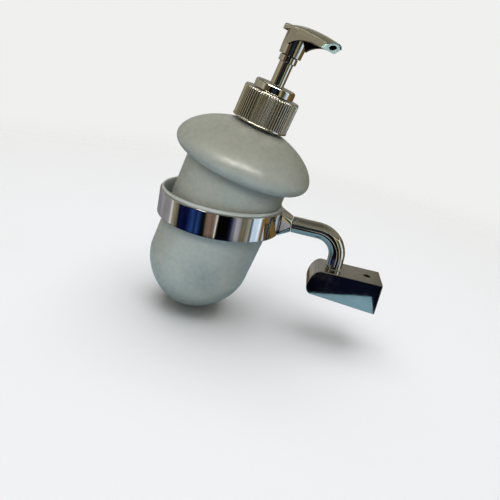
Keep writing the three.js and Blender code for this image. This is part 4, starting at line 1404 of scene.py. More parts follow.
@dataclass
class PumpBody(SubAssembly):
    """What stays with the glass as the plunger moves: guide cap, spring, housing, valve and tube.

    Attributes:
        cap_radius: Of the round boss.
        cap_base: Its underside.
        cap_top: Its top.
        cap_edge: Rounding of its upper edge.
        sunk: How far its top is sunk round the stem.
        sunk_rim: How far out from the stem's hole that starts.
        sunk_floor: Width of its flat floor.
        spigot: Radius of its part in the collar's hole.
        flange_top: Top of the housing's flange.
        skirt: Radius of its part in the housing.
        skirt_bottom: The lower end of that part.
        stem_bore: Radius of the hole for the stem.
        spring_radius: Of the wire's middle line.
        wire: Radius of the wire.
        spring_low: The lowest point of the spring.
        spring_high: The highest at rest.
        turns: Number of turns.
        stroke: How far the plunger goes down; not used here.
    """

    cap_radius: float = 12.4
    cap_base: float = 19.3
    cap_top: float = 24.3
    cap_edge: float = 1.5
    sunk: float = 0.35
    sunk_rim: float = 1.9
    sunk_floor: float = 1.5
    spigot: float = 8.6
    flange_top: float = 17.2
    skirt: float = 6.5
    skirt_bottom: float = 9.7
    stem_bore: float = 4.6
    spring_radius: float = 5.2
    wire: float = 0.45
    spring_low: float = -30.3
    spring_high: float = 0.7
    turns: int = 9
    stroke: float = 12.5

    def build(self) -> None:
        """Builds the cap and the spring and dresses the rest."""
        self.cap()
        self.spring()
        self.dress(NATURAL_PP, "pump_housing")
        self.dress(NATURAL_PE, "gasket", "dip_tube")
        self.dress(STAINLESS, "inlet_ball")

    def cap(self) -> None:
        """Builds the guide cap."""
        corners = [
            (self.stem_bore, self.skirt_bottom, 0.1),
            (self.skirt, self.skirt_bottom, 0.2),
            (self.skirt, self.flange_top, 0),
            (self.spigot, self.flange_top, 0.2),
            (self.spigot, self.cap_base, 0),
            (self.cap_radius, self.cap_base, 0.3),
            (self.cap_radius, self.cap_top, self.cap_edge),
            (self.stem_bore + self.sunk_rim, self.cap_top, 0.2),
            (self.stem_bore + self.sunk_floor, self.cap_top - self.sunk, 0.15),
            (self.stem_bore, self.cap_top - self.sunk, 0.3),
        ]
        self.add(Draft().lathed(corners, 6, 128), "guide_cap_plated", PLATED_ABS, "guide_cap")

    def spring(self) -> None:
        """Builds the return spring as it stands at rest, with a mesh of its own."""
        low, high = self.spring_low + self.wire, self.spring_high - self.wire
        pitch = (high - low) / self.turns
        path = coil(self.spring_radius, low, pitch, self.turns, 32)
        loops = swept(path, lambda i: circle(self.wire, 10))
        spring = self.add(Draft().skin(loops), "return_spring_wound", STAINLESS, "return_spring")
        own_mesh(spring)


@dataclass
class Plunger(SubAssembly):
    """The stem that goes up and down; its seal and ball stay as packed.

    Attributes:
        radius: Of the shown stem.
        bore: Of its bore.
        foot_bottom: The lower end.
        foot_top: Top of the foot.
        foot_radius: Of the foot.
        core: Radius inside the seal.
        seal_top: Where the seal ends.
        step_bottom: Lower end of the wider step.
        step_top: Its upper end.
        step_radius: Of the step.
        spigot: Radius of the part in the head.
        top: The upper end.
        room: Radius of the outlet ball's room.
        room_base: Its floor.
        seat: Radius of the ball's seat.
        seat_height: How far it goes down.
    """

    radius: float = 4.2
    bore: float = 1.9
    foot_bottom: float = 1.0
    foot_top: float = 2.7
    foot_radius: float = 5.8
    core: float = 3.2
    seal_top: float = 9.7
    step_bottom: float = 37.6
    step_top: float = 41.2
    step_radius: float = 5.4
    spigot: float = 4.6
    top: float = 49.0
    room: float = 2.9
    room_base: float = 44.0
    seat: float = 1.5
    seat_height: float = 2.0

    def build(self) -> None:
        """Builds the stem and dresses what moves with it."""
        corners = [
            (self.bore, self.foot_bottom, 0.1),
            (self.foot_radius, self.foot_bottom, 0.2),
            (self.foot_radius, self.foot_top, 0.2),
            (self.core, self.foot_top, 0),
            (self.core, self.seal_top, 0),
            (self.radius, self.seal_top, 0.2),
            (self.radius, self.step_bottom, 0.25),
            (self.step_radius, self.step_bottom, 0.3),
            (self.step_radius, self.step_top, 0.3),
            (self.spigot, self.step_top, 0),
            (self.spigot, self.top, 0.2),
            (self.room, self.top, 0.1),
            (self.room, self.room_base, 0),
            (self.seat, self.room_base - self.seat_height, 0),
            (self.bore, self.room_base - 2 * self.seat_height, 0),
        ]
        self.add(Draft().lathed(corners, 5), "stem_plated", PLATED_ABS, "stem")
        self.dress(NATURAL_PE, "piston_seal")
        self.dress(STAINLESS, "outlet_ball")


@dataclass
class PumpHead(SubAssembly):
    """The plated head, a crowned beak open below, and the aqua insert in its spout.

    Lengths run from the stem's axis towards the spout, heights from the collar's underside.

    Attributes:
        radius: Of the rounded rear.
        wall: Thickness of the side walls and the roof.
        socket: Radius of the socket at its mouth.
        bottom: The socket's lower end.
        arch_base: Height where the side walls' arch starts.
        arch_start: How far ahead of the stem it starts.
        arch_end_rise: Height of the spout's lower corner above that.
        arch_rise: Rise of the arch above its chord.
        arch_skew: Moves the arch's top towards the stem, as a power.
        crest: Height of the crest.
        crest_peak: How far ahead of the stem it is highest.
        crest_drop: From there to the spout.
        crest_dip: From there to the tab's root.
        crest_power: Shape of the fall to the spout.
        crown: From the crest to the top's edges.
        reach: To the spout's upper corner.
        undercut: How far its lower corner lies behind that.
        tip: Width of the spout.
        lip: The roof's thickness over the nozzle's face.
        tab_root: Where the thumb tab starts behind the stem.
        tab_reach: How far back it goes.
        tab_width: Its width.
        tab_corner: Rounding of its corners.
        tab_thickness: At its edges.
        tab_lift: How far its end turns up.
        tab_power: Shape of that.
        rim_reach: How far its rim runs forward.
        rim_proud: How far the rim stands out.
        duct: Radius of the duct under the roof.
        duct_height: Of its middle line.
        duct_start: How far within the socket's wall it starts.
        web: Thickness of the web between duct and roof.
        nozzle: Length of the insert.
        plate: Thickness of its face.
        hole: Radius of the outlet.
        hole_depth: Depth of the outlet.
        stem_hole: Radius of the socket's bore.
        stem_top: Where that bore ends.
        socket_roof: From the tab's underside down to the top of the socket.
        gap: Between fixed neighbours.
        tab_flat: The tab's flat underside, as a share of its width.
        tab_least: Its least thickness.
        rim_edge: How far in from the rim's outside the crown's own points start.
        rim_back: How far behind the rim's front end the roof's underside steps up.
        face_slack: How far the insert's face stays inside the walls' ends.
        plug_width: Width of its plug, as a share of the face's.
        plug_height: Its height, in the same way.
        plug_rise: How much higher its rear end lies.
        side_curve: Plan of a side wall, as lengths and distances from the middle.
        rim_curve: Plan of the rim, in the same way.
    """

    radius: float = 6.9
    wall: float = 1.1
    socket: float = 6.6
    bottom: float = 41.5
    arch_base: float = 46.9
    arch_start: float = 4.0
    arch_end_rise: float = 4.3
    arch_rise: float = 2.65
    arch_skew: float = 0.8
    crest: float = 58.7
    crest_peak: float = 8.0
    crest_drop: float = 2.6
    crest_dip: float = 1.4
    crest_power: float = 1.8
    crown: float = 1.8
    reach: float = 39.7
    undercut: float = 6.0
    tip: float = 7.8
    lip: float = 0.45
    tab_root: float = 7.0
    tab_reach: float = 12.6
    tab_width: float = 10.8
    tab_corner: float = 3.2
    tab_thickness: float = 1.9
    tab_lift: float = 1.8
    tab_power: float = 1.5
    rim_reach: float = 15.0
    rim_proud: float = 0.3
    duct: float = 2.2
    duct_height: float = 53.9
    duct_start: float = 1.5
    web: float = 1.0
    nozzle: float = 12.0
    plate: float = 1.2
    hole: float = 2.0
    hole_depth: float = 8.0
    stem_hole: float = 4.9
    stem_top: float = 49.3
    socket_roof: float = 0.6
    gap: float = 0.3
    tab_flat: float = 0.96
    tab_least: float = 0.5
    rim_edge: float = 0.45
    rim_back: float = 1.5
    face_slack: float = 0.05
    plug_width: float = 0.8
    plug_height: float = 0.72
    plug_rise: float = 0.4
    side_curve: list[Point] = field(init=False)
    rim_curve: list[Point] = field(init=False)

    def __post_init__(self) -> None:
        """Draws the two plan curves, the side wall's and the rim's."""
        far, tip = self.reach + 1, self.tip / 2
        bow = self.radius - (self.radius - tip) / 4
        self.side_curve = bezier((0, self.radius), (self.reach / 2, bow), (far, tip), 48)
        wide, half = self.radius + self.rim_proud, self.tab_width / 2
        corner = self.tab_corner - self.tab_reach
        front = mix(self.radius, tip, self.rim_reach / self.reach) - self.wall / 2
        rear = bezier((-self.tab_reach, half - self.tab_corner), (-self.tab_reach, half), (corner, half), 14)
        neck = bezier((corner, half), (-self.tab_root, wide), (0, wide), 20)
        fore = bezier((0, wide), (self.rim_reach / 2, wide), (self.rim_reach, front), 20)
        self.rim_curve = [*rear, *neck[1:], *fore[1:]]

    def crest_at(self, x: float) -> float:
        """Height of the crest at a length.

        Args:
            x: The length.

        Returns:
            The height.
        """
        if x > self.crest_peak:
            share = (x - self.crest_peak) / (self.reach - self.crest_peak)
            return self.crest - self.crest_drop * share**self.crest_power
        dip = self.crest_dip * ((self.crest_peak - x) / (self.crest_peak + self.tab_root)) ** 2
        back = max(0.0, (-x - self.tab_root) / (self.tab_reach - self.tab_root))
        return self.crest - dip + self.tab_lift * back**self.tab_power

    def arch_at(self, x: float) -> float:
        """Height of the side walls' lower edge at a length.

        Args:
            x: The length.

        Returns:
            The height.
        """
        span = self.reach - self.undercut - self.arch_start
        share = min(1.0, max(0.0, (x - self.arch_start) / span))
        skewed = share**self.arch_skew
        return self.arch_base + self.arch_end_rise * share + self.arch_rise * 4 * skewed * (1 - skewed)

    def end_at(self, z: float) -> float:
        """Where the slanting end of the spout lies at a height."""
        low, high = self.arch_at(self.reach), self.crest_at(self.reach)
        return self.reach - self.undercut * (high - z) / (high - low)

    def half_width(self, x: float) -> float:
        """Half the side walls' width at a length."""
        return height_on(self.side_curve, x)

    def crown_width(self, x: float) -> float:
        """Half the width over which the crown falls by its full height."""
        return mix(self.radius, self.tip / 2, min(1.0, max(0.0, x / self.reach)))

    def top_at(self, x: float, y: float) -> float:
        """Height of the crowned top at a length and a distance from the middle."""
        return self.crest_at(x) - self.crown * (y / self.crown_width(x)) ** 2

    def section(self, x: float, legs: bool = True) -> tuple[list[Point], list[Point]]:
        """Gives the head's section across at a length, as places across and up.

        The outer line runs up one wall, over the rim and the crown and down the other wall, and the inner
        line lies within it. Behind the stem the walls shrink to nothing and only the tab is left, and over
        the nozzle's face only the roof's lip is.

        Args:
            x: The length.
            legs: False where only the lip is left.

        Returns:
            The outer and the inner line, always with the same number of points.
        """
        rim = height_on(self.rim_curve, x) if x <= self.rim_reach else 0.0
        side = rim if x < 0 else self.half_width(x)
        wide = max(rim, side + HAIR)
        edge = self.top_at(x, wide)
        under = min(self.crest_at(x) - self.crown - self.tab_thickness, edge - self.tab_least)
        if not legs:
            under = edge - self.lip

        def ceiling(y: float) -> float:
            """Height of the roof's underside at a distance from the middle."""
            low = legs and x < self.rim_reach - self.rim_back
            return under if low else self.top_at(x, y) - (self.wall if legs else self.lip)

        hollow = legs and x >= 0
        foot = self.arch_at(x) if hollow else under
        inner = side - self.wall if hollow else wide * self.tab_flat
        # The inner points lie closer together where the wall meets the roof.
        shares = (0.0, 0.5, 0.8, 0.86, 0.92, 0.96, 1.0)
        # The rim's rounding, as how far in from its outside and how far up from the crown's edge.
        rounding = ((0.0, -0.35), (0.06, -0.15), (0.22, 0.02))
        outside = [(side, foot), (side, mix(foot, under, 0.5)), (side, under), (wide, under + 0.06)]
        outside += [(wide - inward, edge + up) for inward, up in rounding]
        inside = [(inner, mix(foot, max(ceiling(inner), foot), share)) for share in shares]
        flat = wide - self.rim_edge
        crown = [(y, self.top_at(x, y)) for y in steps(flat, -flat, 16)]
        roof = [(y, max(ceiling(y), foot)) for y in steps(inner, -inner, 16)]

        def whole(half: list[Point], middle: list[Point]) -> list[Point]:
            """One side, the middle and the other side."""
            return [*half, *middle, *((-y, z) for y, z in half[::-1])]

        return whole(outside, crown), whole(inside, roof)

    def build(self) -> None:
        """Builds the head and its insert."""
        self.beak()
        self.insert()

    def slanted(self, place: Callable[[float], float], legs: bool) -> tuple[Loop, Loop]:
        """Gives a section whose points' lengths depend on their heights.

        Args:
            place: The length for a height.
            legs: False where only the roof's lip is left.

        Returns:
            The outer and the inner line.
        """
        lines: list[Loop] = [[], []]
        least, rounds = 1e-4, 6  # just ahead of the stem, and enough to find the place on the slant
        for k, line in enumerate(lines):
            for i in range(len(self.section(1.0)[k])):
                x = max(place(self.crest), least)
                for _ in range(rounds):
                    y, z = self.section(x, legs)[k][i]
                    x = max(place(z), least)
                line.append(Vector((x, y, z)))
        return lines[0], lines[1]

    def beak(self) -> None:
        """Builds the beak with its tab, socket, duct and web."""
        sections: list[tuple[Loop, Loop]] = []
        for share in steps(1, 0, 26):
            x = min(-HAIR, -self.tab_reach * (1 - (1 - share) ** 2))
            outer, inner = self.section(x)
            sections.append((across(outer, x), across(inner, x)))
        back = self.plate + 2 * self.gap
        for share in steps(0, 1, 64):
            sections.append(self.slanted(lambda z, share=share: share * (self.end_at(z) - back), True))
        for share in steps(0, 1, 4):
            ahead = HAIR - back * (1 - share)
            sections.append(self.slanted(lambda z, ahead=ahead: self.end_at(z) + ahead, False))
        draft = Draft()
        # The hollow's inner faces take the darkened plate: painted shade.
        for face in draft.shell(sections):
            face.material_index = 1
        roof = self.crest - self.crown - self.tab_thickness - self.socket_roof
        corners = [
            (self.stem_hole, self.bottom, 0.15),
            (self.socket, self.bottom, 0.25),
            (self.radius, self.arch_base, 0),
            (self.radius, roof, 0),
            (0, roof, 0),
            (0, self.stem_top, 0),
            (self.stem_hole, self.stem_top, 0),
        ]
        draft.lathed(corners, 4)
        low, half = self.duct_height, self.web / 2
        along = (self.radius - self.duct_start, self.reach - self.nozzle - self.gap)
        duct = [(y, z + low) for y, z in circle(self.duct, 32)]
        draft.skin([across(duct, x) for x in along])
        tops = [(x, self.crest_at(x) - self.wall / 2) for x in along]
        draft.skin([across([(-half, low), (half, low), (half, high), (-half, high)], x) for x, high in tops])
        names = ("pump_head_beak", PLATED_ABS_SATIN, "pump_head")
        self.add(draft, *names, second=PLATED_ABS_INSIDE_SHADED, sharp=38)

    def insert(self) -> None:
        """Builds the insert: a face plate under the roof's lip, the outlet and the plug behind it."""
        low = self.arch_at(self.reach) + self.face_slack
        half = self.half_width(self.reach - self.undercut / 2) - self.face_slack

        def roof(y: float) -> float:
            """Top of the face at a distance from the middle."""
            return self.top_at(self.reach - 1, y) - self.lip - self.gap / 2

        corners = [(half, low, 0.3), (half, roof(half), 0.15)]
        corners += [(y, roof(y), 0) for y in steps(half * 0.8, -half * 0.8, 8)]
        corners += [(-half, roof(half), 0.15), (-half, low, 0.3)]
        outline = softened(corners, 5)
        rise = roof(0) - low
        squeeze = rise / math.hypot(rise, self.end_at(roof(0)) - self.end_at(low))
        middle = Vector((0, (low + roof(0)) / 2))
        angles = steps(0, 2 * math.pi, ROUND)[:-1]

        def reach_to(angle: float) -> Vector:
            """Finds where a spoke from the hole's middle meets the outline.

            Args:
                angle: The spoke's direction.

            Returns:
                The place.
            """
            spoke = Vector((math.cos(angle), math.sin(angle)))
            best = 0.0
            for a, b in pairwise([*outline, outline[0]]):
                p, q = Vector(a) - middle, Vector(b) - middle
                edge = q - p
                area = spoke.x * edge.y - spoke.y * edge.x
                if abs(area) < PARALLEL:
                    continue
                along = (p.x * edge.y - p.y * edge.x) / area
                share = (p.x * spoke.y - p.y * spoke.x) / area
                if along > 0 and -TINY <= share <= 1 + TINY:
                    best = max(best, along)
            return middle + spoke * best

        rim = [reach_to(angle) for angle in angles]

        def face(inset: float) -> list[Point]:
            """The outline, set in."""
            return [tuple(p + (middle - p).normalized() * inset) for p in rim]

        def hole(radius: float) -> list[Point]:
            """The outlet, squeezed so that it is round on the slant."""
            return [(radius * math.cos(a), middle.y + squeeze * radius * math.sin(a)) for a in angles]

        def slanting(points: Sequence[Point], back: float) -> Loop:
            """Stands points on the slanting end, or set back from it."""
            return [Vector((self.end_at(z) - self.gap - back, y, z)) for y, z in points]

        def plug(x: float) -> Loop:
            """Lays out a ring of the plug, inside the walls.

            Args:
                x: Its length.

            Returns:
                Its points.
            """
            wide, high = self.plug_width, self.plug_height
            rise = self.plug_rise * (self.reach - x) / self.nozzle
            return across([(p.x * wide, middle.y + (p.y - middle.y) * high + rise) for p in rim], x)

        # The outlet's floor, its mouth's rounding, the face's edge and the plug.
        mouth = ((0.0, 0.25), (0.08, 0.07), (0.25, 0.0))
        edge = ((0.28, 0.0), (0.16, 0.0), (0.04, 0.04), (0.0, 0.16), (0.0, self.plate))
        loops = [across(hole(radius), self.reach - self.hole_depth) for radius in (0.6, self.hole)]
        loops += [slanting(hole(self.hole + out), back) for out, back in mouth]
        loops += [slanting(face(inset), back) for inset, back in edge]
        loops += [plug(self.reach - self.undercut - self.plate - 1.0), plug(self.reach - self.nozzle)]
        draft = Draft().skin(loops)
        # The faces inside the outlet's bore get the near-black painted shade.
        draft.second_finish(lambda p: math.hypot(p.y, (p.z - middle.y) / squeeze) < self.hole)
        names = ("nozzle_insert_aqua", AQUA_PP, "nozzle_insert")
        self.add(draft, *names, second=AQUA_PP_BORE_SHADE, sharp=40)


# Studio


@dataclass
class PhotoCamera:
    """The camera, where the photograph was taken from.

    Attributes:
        place: Its place in metres.
        right: Its own X axis.
        up: Its own Y axis.
        back: Its own Z axis, away from what it sees.
        lens: Focal length for the sensor's width.
        sensor: The sensor's width.
        shift: Vertical shift that frames the picture as the photograph is.
        near: Nearest distance that it sees, in metres.
        far: Farthest distance that it sees.
    """

    place: Point3 = (-0.0690, -0.2877, 0.1195)
    right: Point3 = (0.9707, 0.1334, 0.2000)
    up: Point3 = (-0.2315, 0.2946, 0.9271)
    back: Point3 = (0.0647, -0.9463, 0.3168)
    lens: float = 34.36
    sensor: float = 36.0
    shift: float = -0.05
    near: float = 0.01
    far: float = 50.0

    def build(self) -> None:
        """Makes the camera and gives it to the scene."""
        data = bpy.data.cameras.new("photo_camera")
        data.lens, data.sensor_width, data.shift_y = self.lens, self.sensor, self.shift
        data.clip_start, data.clip_end = self.near, self.far
        camera = placed("photo_camera", data)
        turn = Matrix((self.right, self.up, self.back)).transposed().to_quaternion().to_matrix()
        camera.matrix_world = Matrix.Translation(self.place) @ turn.to_4x4()
        bpy.context.scene.camera = camera
        LOG.info("camera at %s", self.place)


@dataclass
class Lamp:
    """A soft box.

    Attributes:
        name: Its name.
        place: Where it stands, in metres.
        size: Its width and height in metres.
        power: In watts.
        colour: Its sRGB hex colour.
        aim: The point that it faces.
        mirrored: Whether gloss shows it.
        only: Words that the names of the pieces it lights start with; none for all pieces.
    """

    name: str
    place: Point3
    size: Point
    power: float
    colour: str = "#FFFFFF"
    aim: Point3 = (-0.09, 0.0, 0.06)
    mirrored: bool = True
    only: tuple[str, ...] = ()

    def build(self) -> None:
        """Makes the lamp."""
        data = bpy.data.lights.new(self.name, "AREA")
        data.shape = "RECTANGLE"
        data.size, data.size_y = self.size
        data.energy = self.power
        data.color = linear(self.colour)[:3]
        lamp = placed(self.name, data)
        lamp.location = self.place
        lamp.rotation_mode = "QUATERNION"
        lamp.rotation_quaternion = (Vector(self.place) - Vector(self.aim)).to_track_quat("Z", "Y")
        lamp.visible_glossy, lamp.visible_camera = self.mirrored, False
        if self.only:
            lit = bpy.data.collections.new(f"{self.name}_lights")
            for piece in bpy.data.objects:
                if piece.name.startswith(self.only):
                    lit.objects.link(piece)
            lamp.light_linking.receiver_collection = lit
        LOG.info("lamp %s, %.1f W", self.name, self.power)


# The pieces with a satin finish, which show a lamp as a soft highlight.
SATIN = ("bottle", "nozzle", "collar", "guide_cap")
LAMPS = (
    # The window that gives the glass its highlight, and the sky seen through its top.
    Lamp("window", (-0.05, -0.79, 0.686), (1.3, 0.25), 17.0, "#FFF9EE", only=SATIN),
    Lamp("sky", (-0.2, 0.0, 1.0), (0.7, 0.7), 0.8, "#FFF2D8", only=SATIN),
    # Light that comes back from the room, from the front, from above and from the rear.
    Lamp("fill", (-0.4, -0.7, -0.02), (0.6, 0.03), 1.4, "#F0F4F2", mirrored=False),
    Lamp("top", (-0.1, 0.1, 1.0), (1.2, 1.2), 2.0, "#FFFAF0", mirrored=False),
    Lamp("rear", (-0.35, 0.8, 0.5), (0.9, 0.5), 5.0, mirrored=False, only=SATIN),
    # The bright points on the ring and on its liner's lip.
    Lamp("glint", (-0.47, -0.68, 0.67), (0.25, 0.2), 2.5, only=("ring_band", "ring_liner")),
    Lamp("liner_lamp", (-0.05, -0.55, 0.22), (0.3, 0.2), 1.3, only=("ring_liner",)),
    # The blue that a coloured board below throws up into the dome.
    Lamp(
        "bounce", (-0.12, -0.09, -0.038), (0.25, 0.12), 0.13, "#A8D2EC",
        aim=(-0.11, -0.01, 0.0), only=("bottle", "ring_liner"),
    ),
    # The floor and the mirrored card alone, so that both match the surround.
    Lamp("floor_lamp", (-0.1, 0.0, 1.3), (1.6, 1.6), 20.5, mirrored=False, only=("floor", "mirrored_card")),
)


@dataclass(frozen=True)
class WallBand:
    """A level of the room that the chrome mirrors.

    Attributes:
        low: The sine of its lower edge's elevation.
        colours: What stands round the object, as degrees from +X towards +Y and sRGB hex colours.
    """

    low: float
    colours: Sequence[tuple[float, str]]


# Tall things seen in the plate above the ring: cupboards, door frames and a bright window.
UPPER_WALLS = WallBand(
    -0.262,
    (
        (-180, "#8C8879"), (-165, "#8F8C7E"), (-152, "#A8A595"), (-150, "#D2CFC0"), (-146, "#8E8A78"),
        (-135, "#4A3A2C"), (-113, "#54452F"), (-111, "#0B0B09"), (-99, "#060708"), (-95, "#222C33"),
        (-73, "#1C2429"), (-70, "#050505"), (-58, "#0A0A08"), (-55, "#A8A17C"), (-45, "#8F8866"),
        (-42, "#45412D"), (-22, "#39351F"), (-19, "#C6DEF2"), (3, "#DCEBF6"), (7, "#63502A"),
        (55, "#5A4824"), (70, "#4A4026"), (84, "#76746F"), (120, "#7C7A74"), (138, "#8B8573"),
        (180, "#8C8879"),
    ),
)
# What stands lower, seen in the ring: a blue cloth, dark legs, a brown chest and the window's foot.
MIDDLE_WALLS = WallBand(
    -0.36,
    (
        (-180, "#C4C3C8"), (-176, "#DEDDDE"), (-173, "#8A8577"), (-161, "#5E5A4A"), (-158, "#080A18"),
        (-152, "#0B1240"), (-144, "#070B26"), (-138, "#0B1444"), (-127, "#203C70"), (-122, "#0F1C44"),
        (-118, "#254276"), (-113, "#0E1C42"), (-110, "#070D0C"), (-105, "#0A100C"), (-102, "#6A5A50"),
        (-86.5, "#78665A"), (-84.8, "#FFFFF8"), (-82.4, "#040404"), (-61, "#050506"), (-57, "#242A48"),
        (-48, "#A4A4AE"), (-41, "#8A8A92"), (-38, "#66614B"), (-22, "#93918A"), (-19, "#0E0D0A"),
        (-16, "#BCD6F4"), (0, "#D5E6F8"), (4, "#7C6238"), (104, "#4A3C22"), (110, "#6A6A6E"),
        (134, "#7E7D84"), (172, "#8C8B90"),
    ),
)
# The dark floor beyond the pale one.
LOWER_WALLS = WallBand(
    -1.0,
    (
        (-180, "#3A3A38"), (-150, "#10141F"), (-100, "#050505"), (-86, "#030303"), (-78, "#090B1C"),
        (-60, "#101420"), (-30, "#2E2A22"), (0, "#6A6458"), (60, "#3E3A34"), (150, "#4A4946"),
    ),
)


@dataclass
class Studio:
    """The floor, the pale surround that the camera sees, the room that the chrome mirrors, and the lamps.

    Attributes:
        floor_height: Just below the bottle's dome, in metres.
        floor_middle: Where the floor's disc is centred.
        floor_solid: Radius within which the floor is opaque.
        floor_end: Radius where it has faded into the surround.
        surround_radius: Of the pale shell, in millimetres.
        card: Outline of the pale card that the chrome mirrors as its floor, in millimetres.
        card_lift: How far the card lies above the floor, in metres.
        pale: Colour of the surround.
        paper: Colour of the floor.
        card_colour: Colour of the card.
        fibre: Size of the fibres of matt paper board in millimetres, drawn coarser than they are so that
            they show at all.
        fibre_height: Their height.
        room_light: Strength of the mirrored room.
        patchy: The least and the most of that strength that its patches have.
        wavering: How far the walls' edges swing, in degrees.
        blend: How softly one level of the room meets the next, as the sine of an elevation.
        ceiling: Colours from the light moulding at the walls' top to overhead, each with the sine of its
            elevation.
    """

    floor_height: float = -0.0405
    floor_middle: Point = (-0.075, 0.0)
    floor_solid: float = 0.2
    floor_end: float = 0.7
    surround_radius: float = 4000.0
    card: Sequence[Point] = ((-220, -5), (17, -104), (14.5, -74), (12, 75), (-220, 75))
    card_lift: float = 0.0002
    pale: str = "#F0F0EE"
    paper: str = "#E3E5EC"
    card_colour: str = "#86B0C8"
    fibre: float = 1.5
    fibre_height: float = 0.02
    room_light: float = 1.5
    patchy: Point = (0.7, 1.3)
    wavering: float = 5.0
    blend: float = 0.008
    ceiling: Sequence[tuple[float, str]] = (
        (0.4, "#F4F0E0"), (0.43, "#E8E2CC"), (0.44, "#4E4A3A"), (0.6, "#7C7A6C"), (0.8, "#6C6A5E"),
        (1.0, "#4E4C42"),
    )

    def build(self) -> None:
        """Builds the studio."""
        self.room()
        self.surround()
        self.floor()
        self.mirrored_card()
        for lamp in LAMPS:
            lamp.build()
        bpy.context.scene.view_settings.view_transform = "Standard"

    def room(self) -> None:
        """Builds the world: three levels of walls under a plain ceiling."""
        world = bpy.data.worlds.new("room")
        bpy.context.scene.world = world
        tree = cleared(world)
        way = add_node(tree, "TexCoord").outputs["Generated"]
        parts = add_node(tree, "SeparateXYZ", {0: way}).outputs
        angle = add_node(tree, "Math", {0: parts["Y"], 1: parts["X"]}, operation="ARCTAN2")
        uneven = add_node(tree, "TexNoise", {"Vector": way, "Scale": 9.0, "Detail": 2.0})
        swing = math.radians(self.wavering)
        turned = add_node(tree, "Math", {0: uneven, 1: swing, 2: angle}, operation="MULTIPLY_ADD")
        span = {"From Min": swing / 2 - math.pi, "From Max": swing / 2 + math.pi}
        share = add_node(tree, "MapRange", {"Value": turned, **span})
        seen = None
        for band in (LOWER_WALLS, MIDDLE_WALLS, UPPER_WALLS):
            stops = [((degrees + 180) / 360, code) for degrees, code in band.colours]
            walls = add_node(tree, "ValToRGB", {"Fac": share}, stops=stops)
            seen = self.above(tree, parts["Z"], band.low, seen, walls) if seen else walls
        overhead = add_node(tree, "ValToRGB", {"Fac": parts["Z"]}, stops=self.ceiling)
        seen = self.above(tree, parts["Z"], self.ceiling[0][0], seen, overhead)
        span = {"From Min": 0.3, "From Max": 0.7, "To Min": self.patchy[0], "To Max": self.patchy[1]}
        patches = add_node(tree, "MapRange", {"Value": uneven, **span})
        strength = add_node(tree, "Math", {0: patches, 1: self.room_light}, operation="MULTIPLY")
        light = add_node(tree, "Background", {"Color": seen, "Strength": strength})
        add_node(tree, "OutputWorld", {"Surface": light})
        LOG.info("room with %d wall colours", len(UPPER_WALLS.colours) + len(MIDDLE_WALLS.colours))

    def above(self, tree: Tree, rise: Socket, edge: float, low: Node, high: Node) -> Node:
        """Puts one level of the room on another.

        Args:
            tree: The world's nodes.
            rise: Sine of the elevation.
            edge: Where the two levels meet.
            low: Colour below.
            high: Colour above.

        Returns:
            The colour of both.
        """
        span = {"From Min": edge - self.blend, "From Max": edge + self.blend}
        share = add_node(tree, "MapRange", {"Value": rise, **span})
        return add_node(tree, "Mix", {"Factor": share, MIX_A: low, MIX_B: high}, data_type="RGBA")

    def stage(self, draft: Draft, name: str, material: bpy.types.Material, hidden: str) -> bpy.types.Object:
        """Puts a surface that isn't part of the object on the stage.

        Args:
            draft: Its shape, in millimetres.
            name: Its name.
            material: Its material.
            hidden: The kinds of rays that don't see it.

        Returns:
            The surface.
        """
        made = placed(name, draft.mesh(name, Matrix.Identity(4)))
        made.data.materials.append(material)
        for kind in hidden.split():
            setattr(made, f"visible_{kind}", False)
        return made

    def surround(self) -> None:
        """Builds the pale shell that only the camera sees."""
        glowing = bpy.data.materials.new("pale_surround")
        tree = cleared(glowing)
        glow = add_node(tree, "Emission", {"Color": linear(self.pale), "Strength": 1.0})
        add_node(tree, "OutputMaterial", {"Surface": glow})
        far = self.surround_radius
        profile = [(far * math.cos(a), far * math.sin(a)) for a in steps(-math.pi / 2, math.pi / 2, 24)]
        profile[0], profile[-1] = (0.0, -far), (0.0, far)
        draft = Draft()
        for low, high in pairwise([draft.ring(radius, height, SMALL) for radius, height in profile]):
            draft.join(low, high)
        self.stage(draft, "pale_surround", glowing, "diffuse glossy shadow transmission")

    def paper_board(self, name: str, colour: str, fades: bool) -> bpy.types.Material:
        """Makes the material of the floor or of the card.

        Args:
            name: Its name.
            colour: Its sRGB hex colour.
            fades: Whether it fades into the surround.

        Returns:
            The material.
        """
        made = bpy.data.materials.new(name)
        tree = cleared(made)
        where = add_node(tree, "TexCoord").outputs["Object"]
        fibre = add_node(tree, "TexNoise", {"Vector": where, "Scale": 1 / (self.fibre * MM)})
        bump = add_node(tree, "Bump", {"Height": fibre, "Distance": self.fibre_height * MM})
        matt = {"Base Color": linear(colour), "Roughness": 0.9, "Normal": bump}
        surface = add_node(tree, "BsdfPrincipled", matt)
        if fades:
            out = add_node(tree, "VectorMath", {0: where}, operation="LENGTH")
            span = {"From Min": self.floor_solid, "From Max": self.floor_end}
            fade = add_node(tree, "MapRange", {"Value": out, **span}, interpolation_type="SMOOTHSTEP")
            clear = add_node(tree, "BsdfTransparent")
            surface = add_node(tree, "MixShader", {0: fade, 1: surface, 2: clear})
        add_node(tree, "OutputMaterial", {"Surface": surface})
        return made

    def floor(self) -> None:
        """Builds the matt floor, which fades into the surround."""
        draft = Draft()
        draft.bm.faces.new(draft.ring(self.floor_end / MM + 5, 0, ROUND))
        disc = self.stage(draft, "floor", self.paper_board("matt_paper_floor", self.paper, True), "glossy")
        disc.location = (*self.floor_middle, self.floor_height)

    def mirrored_card(self) -> None:
        """Builds the card, which only the gloss shows."""
        draft = Draft()
        draft.bm.faces.new([draft.bm.verts.new((x, y, 0)) for x, y in self.card])
        board = self.paper_board("matt_paper_card", self.card_colour, False)
        card = self.stage(draft, "mirrored_card", board, "camera diffuse shadow transmission")
        card.location.z = self.floor_height + self.card_lift


# Assembly


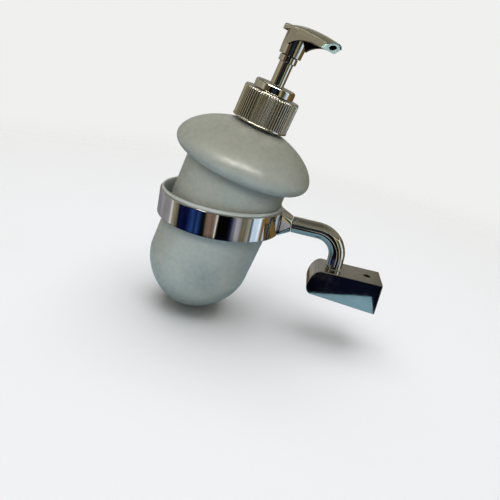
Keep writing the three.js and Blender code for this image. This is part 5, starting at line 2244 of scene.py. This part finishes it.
@dataclass
class Dispenser:
    """Where each sub-assembly lies in the shared frame.

    Attributes:
        wall_reach: From the wall to the ring's middle.
        ring_height: Of the ring's middle above the mount.
        lean: Of the bottle's axis towards the wall, in degrees.
        shift: Of that axis at the ring's middle.
        collar_rise: From the ring's middle up the axis to the collar's underside.
        head_turn: Of the pump head on its stem, in degrees.
    """

    wall_reach: float = 109.3
    ring_height: float = 30.3
    lean: float = 12.6
    shift: float = 0.8
    collar_rise: float = 57.6
    head_turn: float = -56.0

    def at_ring(self) -> Matrix:
        """Place of the ring's own frame."""
        return Matrix.Translation((-self.wall_reach * MM, 0, self.ring_height * MM))

    def at_bottle(self) -> Matrix:
        """Place of the leaning bottle's frame.

        Returns:
            The place, with the collar's underside at its origin.
        """
        lean = math.radians(self.lean)
        x = -self.wall_reach + self.shift + self.collar_rise * math.sin(lean)
        z = self.ring_height + self.collar_rise * math.cos(lean)
        return Matrix.Translation((x * MM, 0, z * MM)) @ Matrix.Rotation(lean, 4, "Y")

    def at_head(self) -> Matrix:
        """Place of the turned head's frame."""
        return self.at_bottle() @ Matrix.Rotation(math.radians(self.head_turn), 4, "Z")

    def build(self) -> None:
        """Builds every sub-assembly, from the wall outwards."""
        RingHolder(self.at_ring(), Body.HOLDER, band_inner=37.91).build()
        WallMount(Matrix.Identity(4), Body.HOLDER).build()
        GlassBottle(self.at_bottle(), Body.BOTTLE).build()
        ScrewCollar(self.at_bottle(), Body.COLLAR).build()
        PumpBody(self.at_bottle(), Body.PUMP).build()
        Plunger(self.at_bottle(), Body.PLUNGER).build()
        PumpHead(self.at_head(), Body.HEAD).build()


def corners(box: tuple[Vector, Vector]) -> list[list[float]]:
    """A box as plain lists of numbers."""
    return [list(corner) for corner in box]


def main() -> None:
    """Builds the dispenser, its studio and its camera."""
    logging.basicConfig(level=logging.INFO, format="%(name)s: %(message)s")
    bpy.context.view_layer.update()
    Dispenser().build()
    Studio().build()
    PhotoCamera().build()


if __name__ == "__main__":
    main()
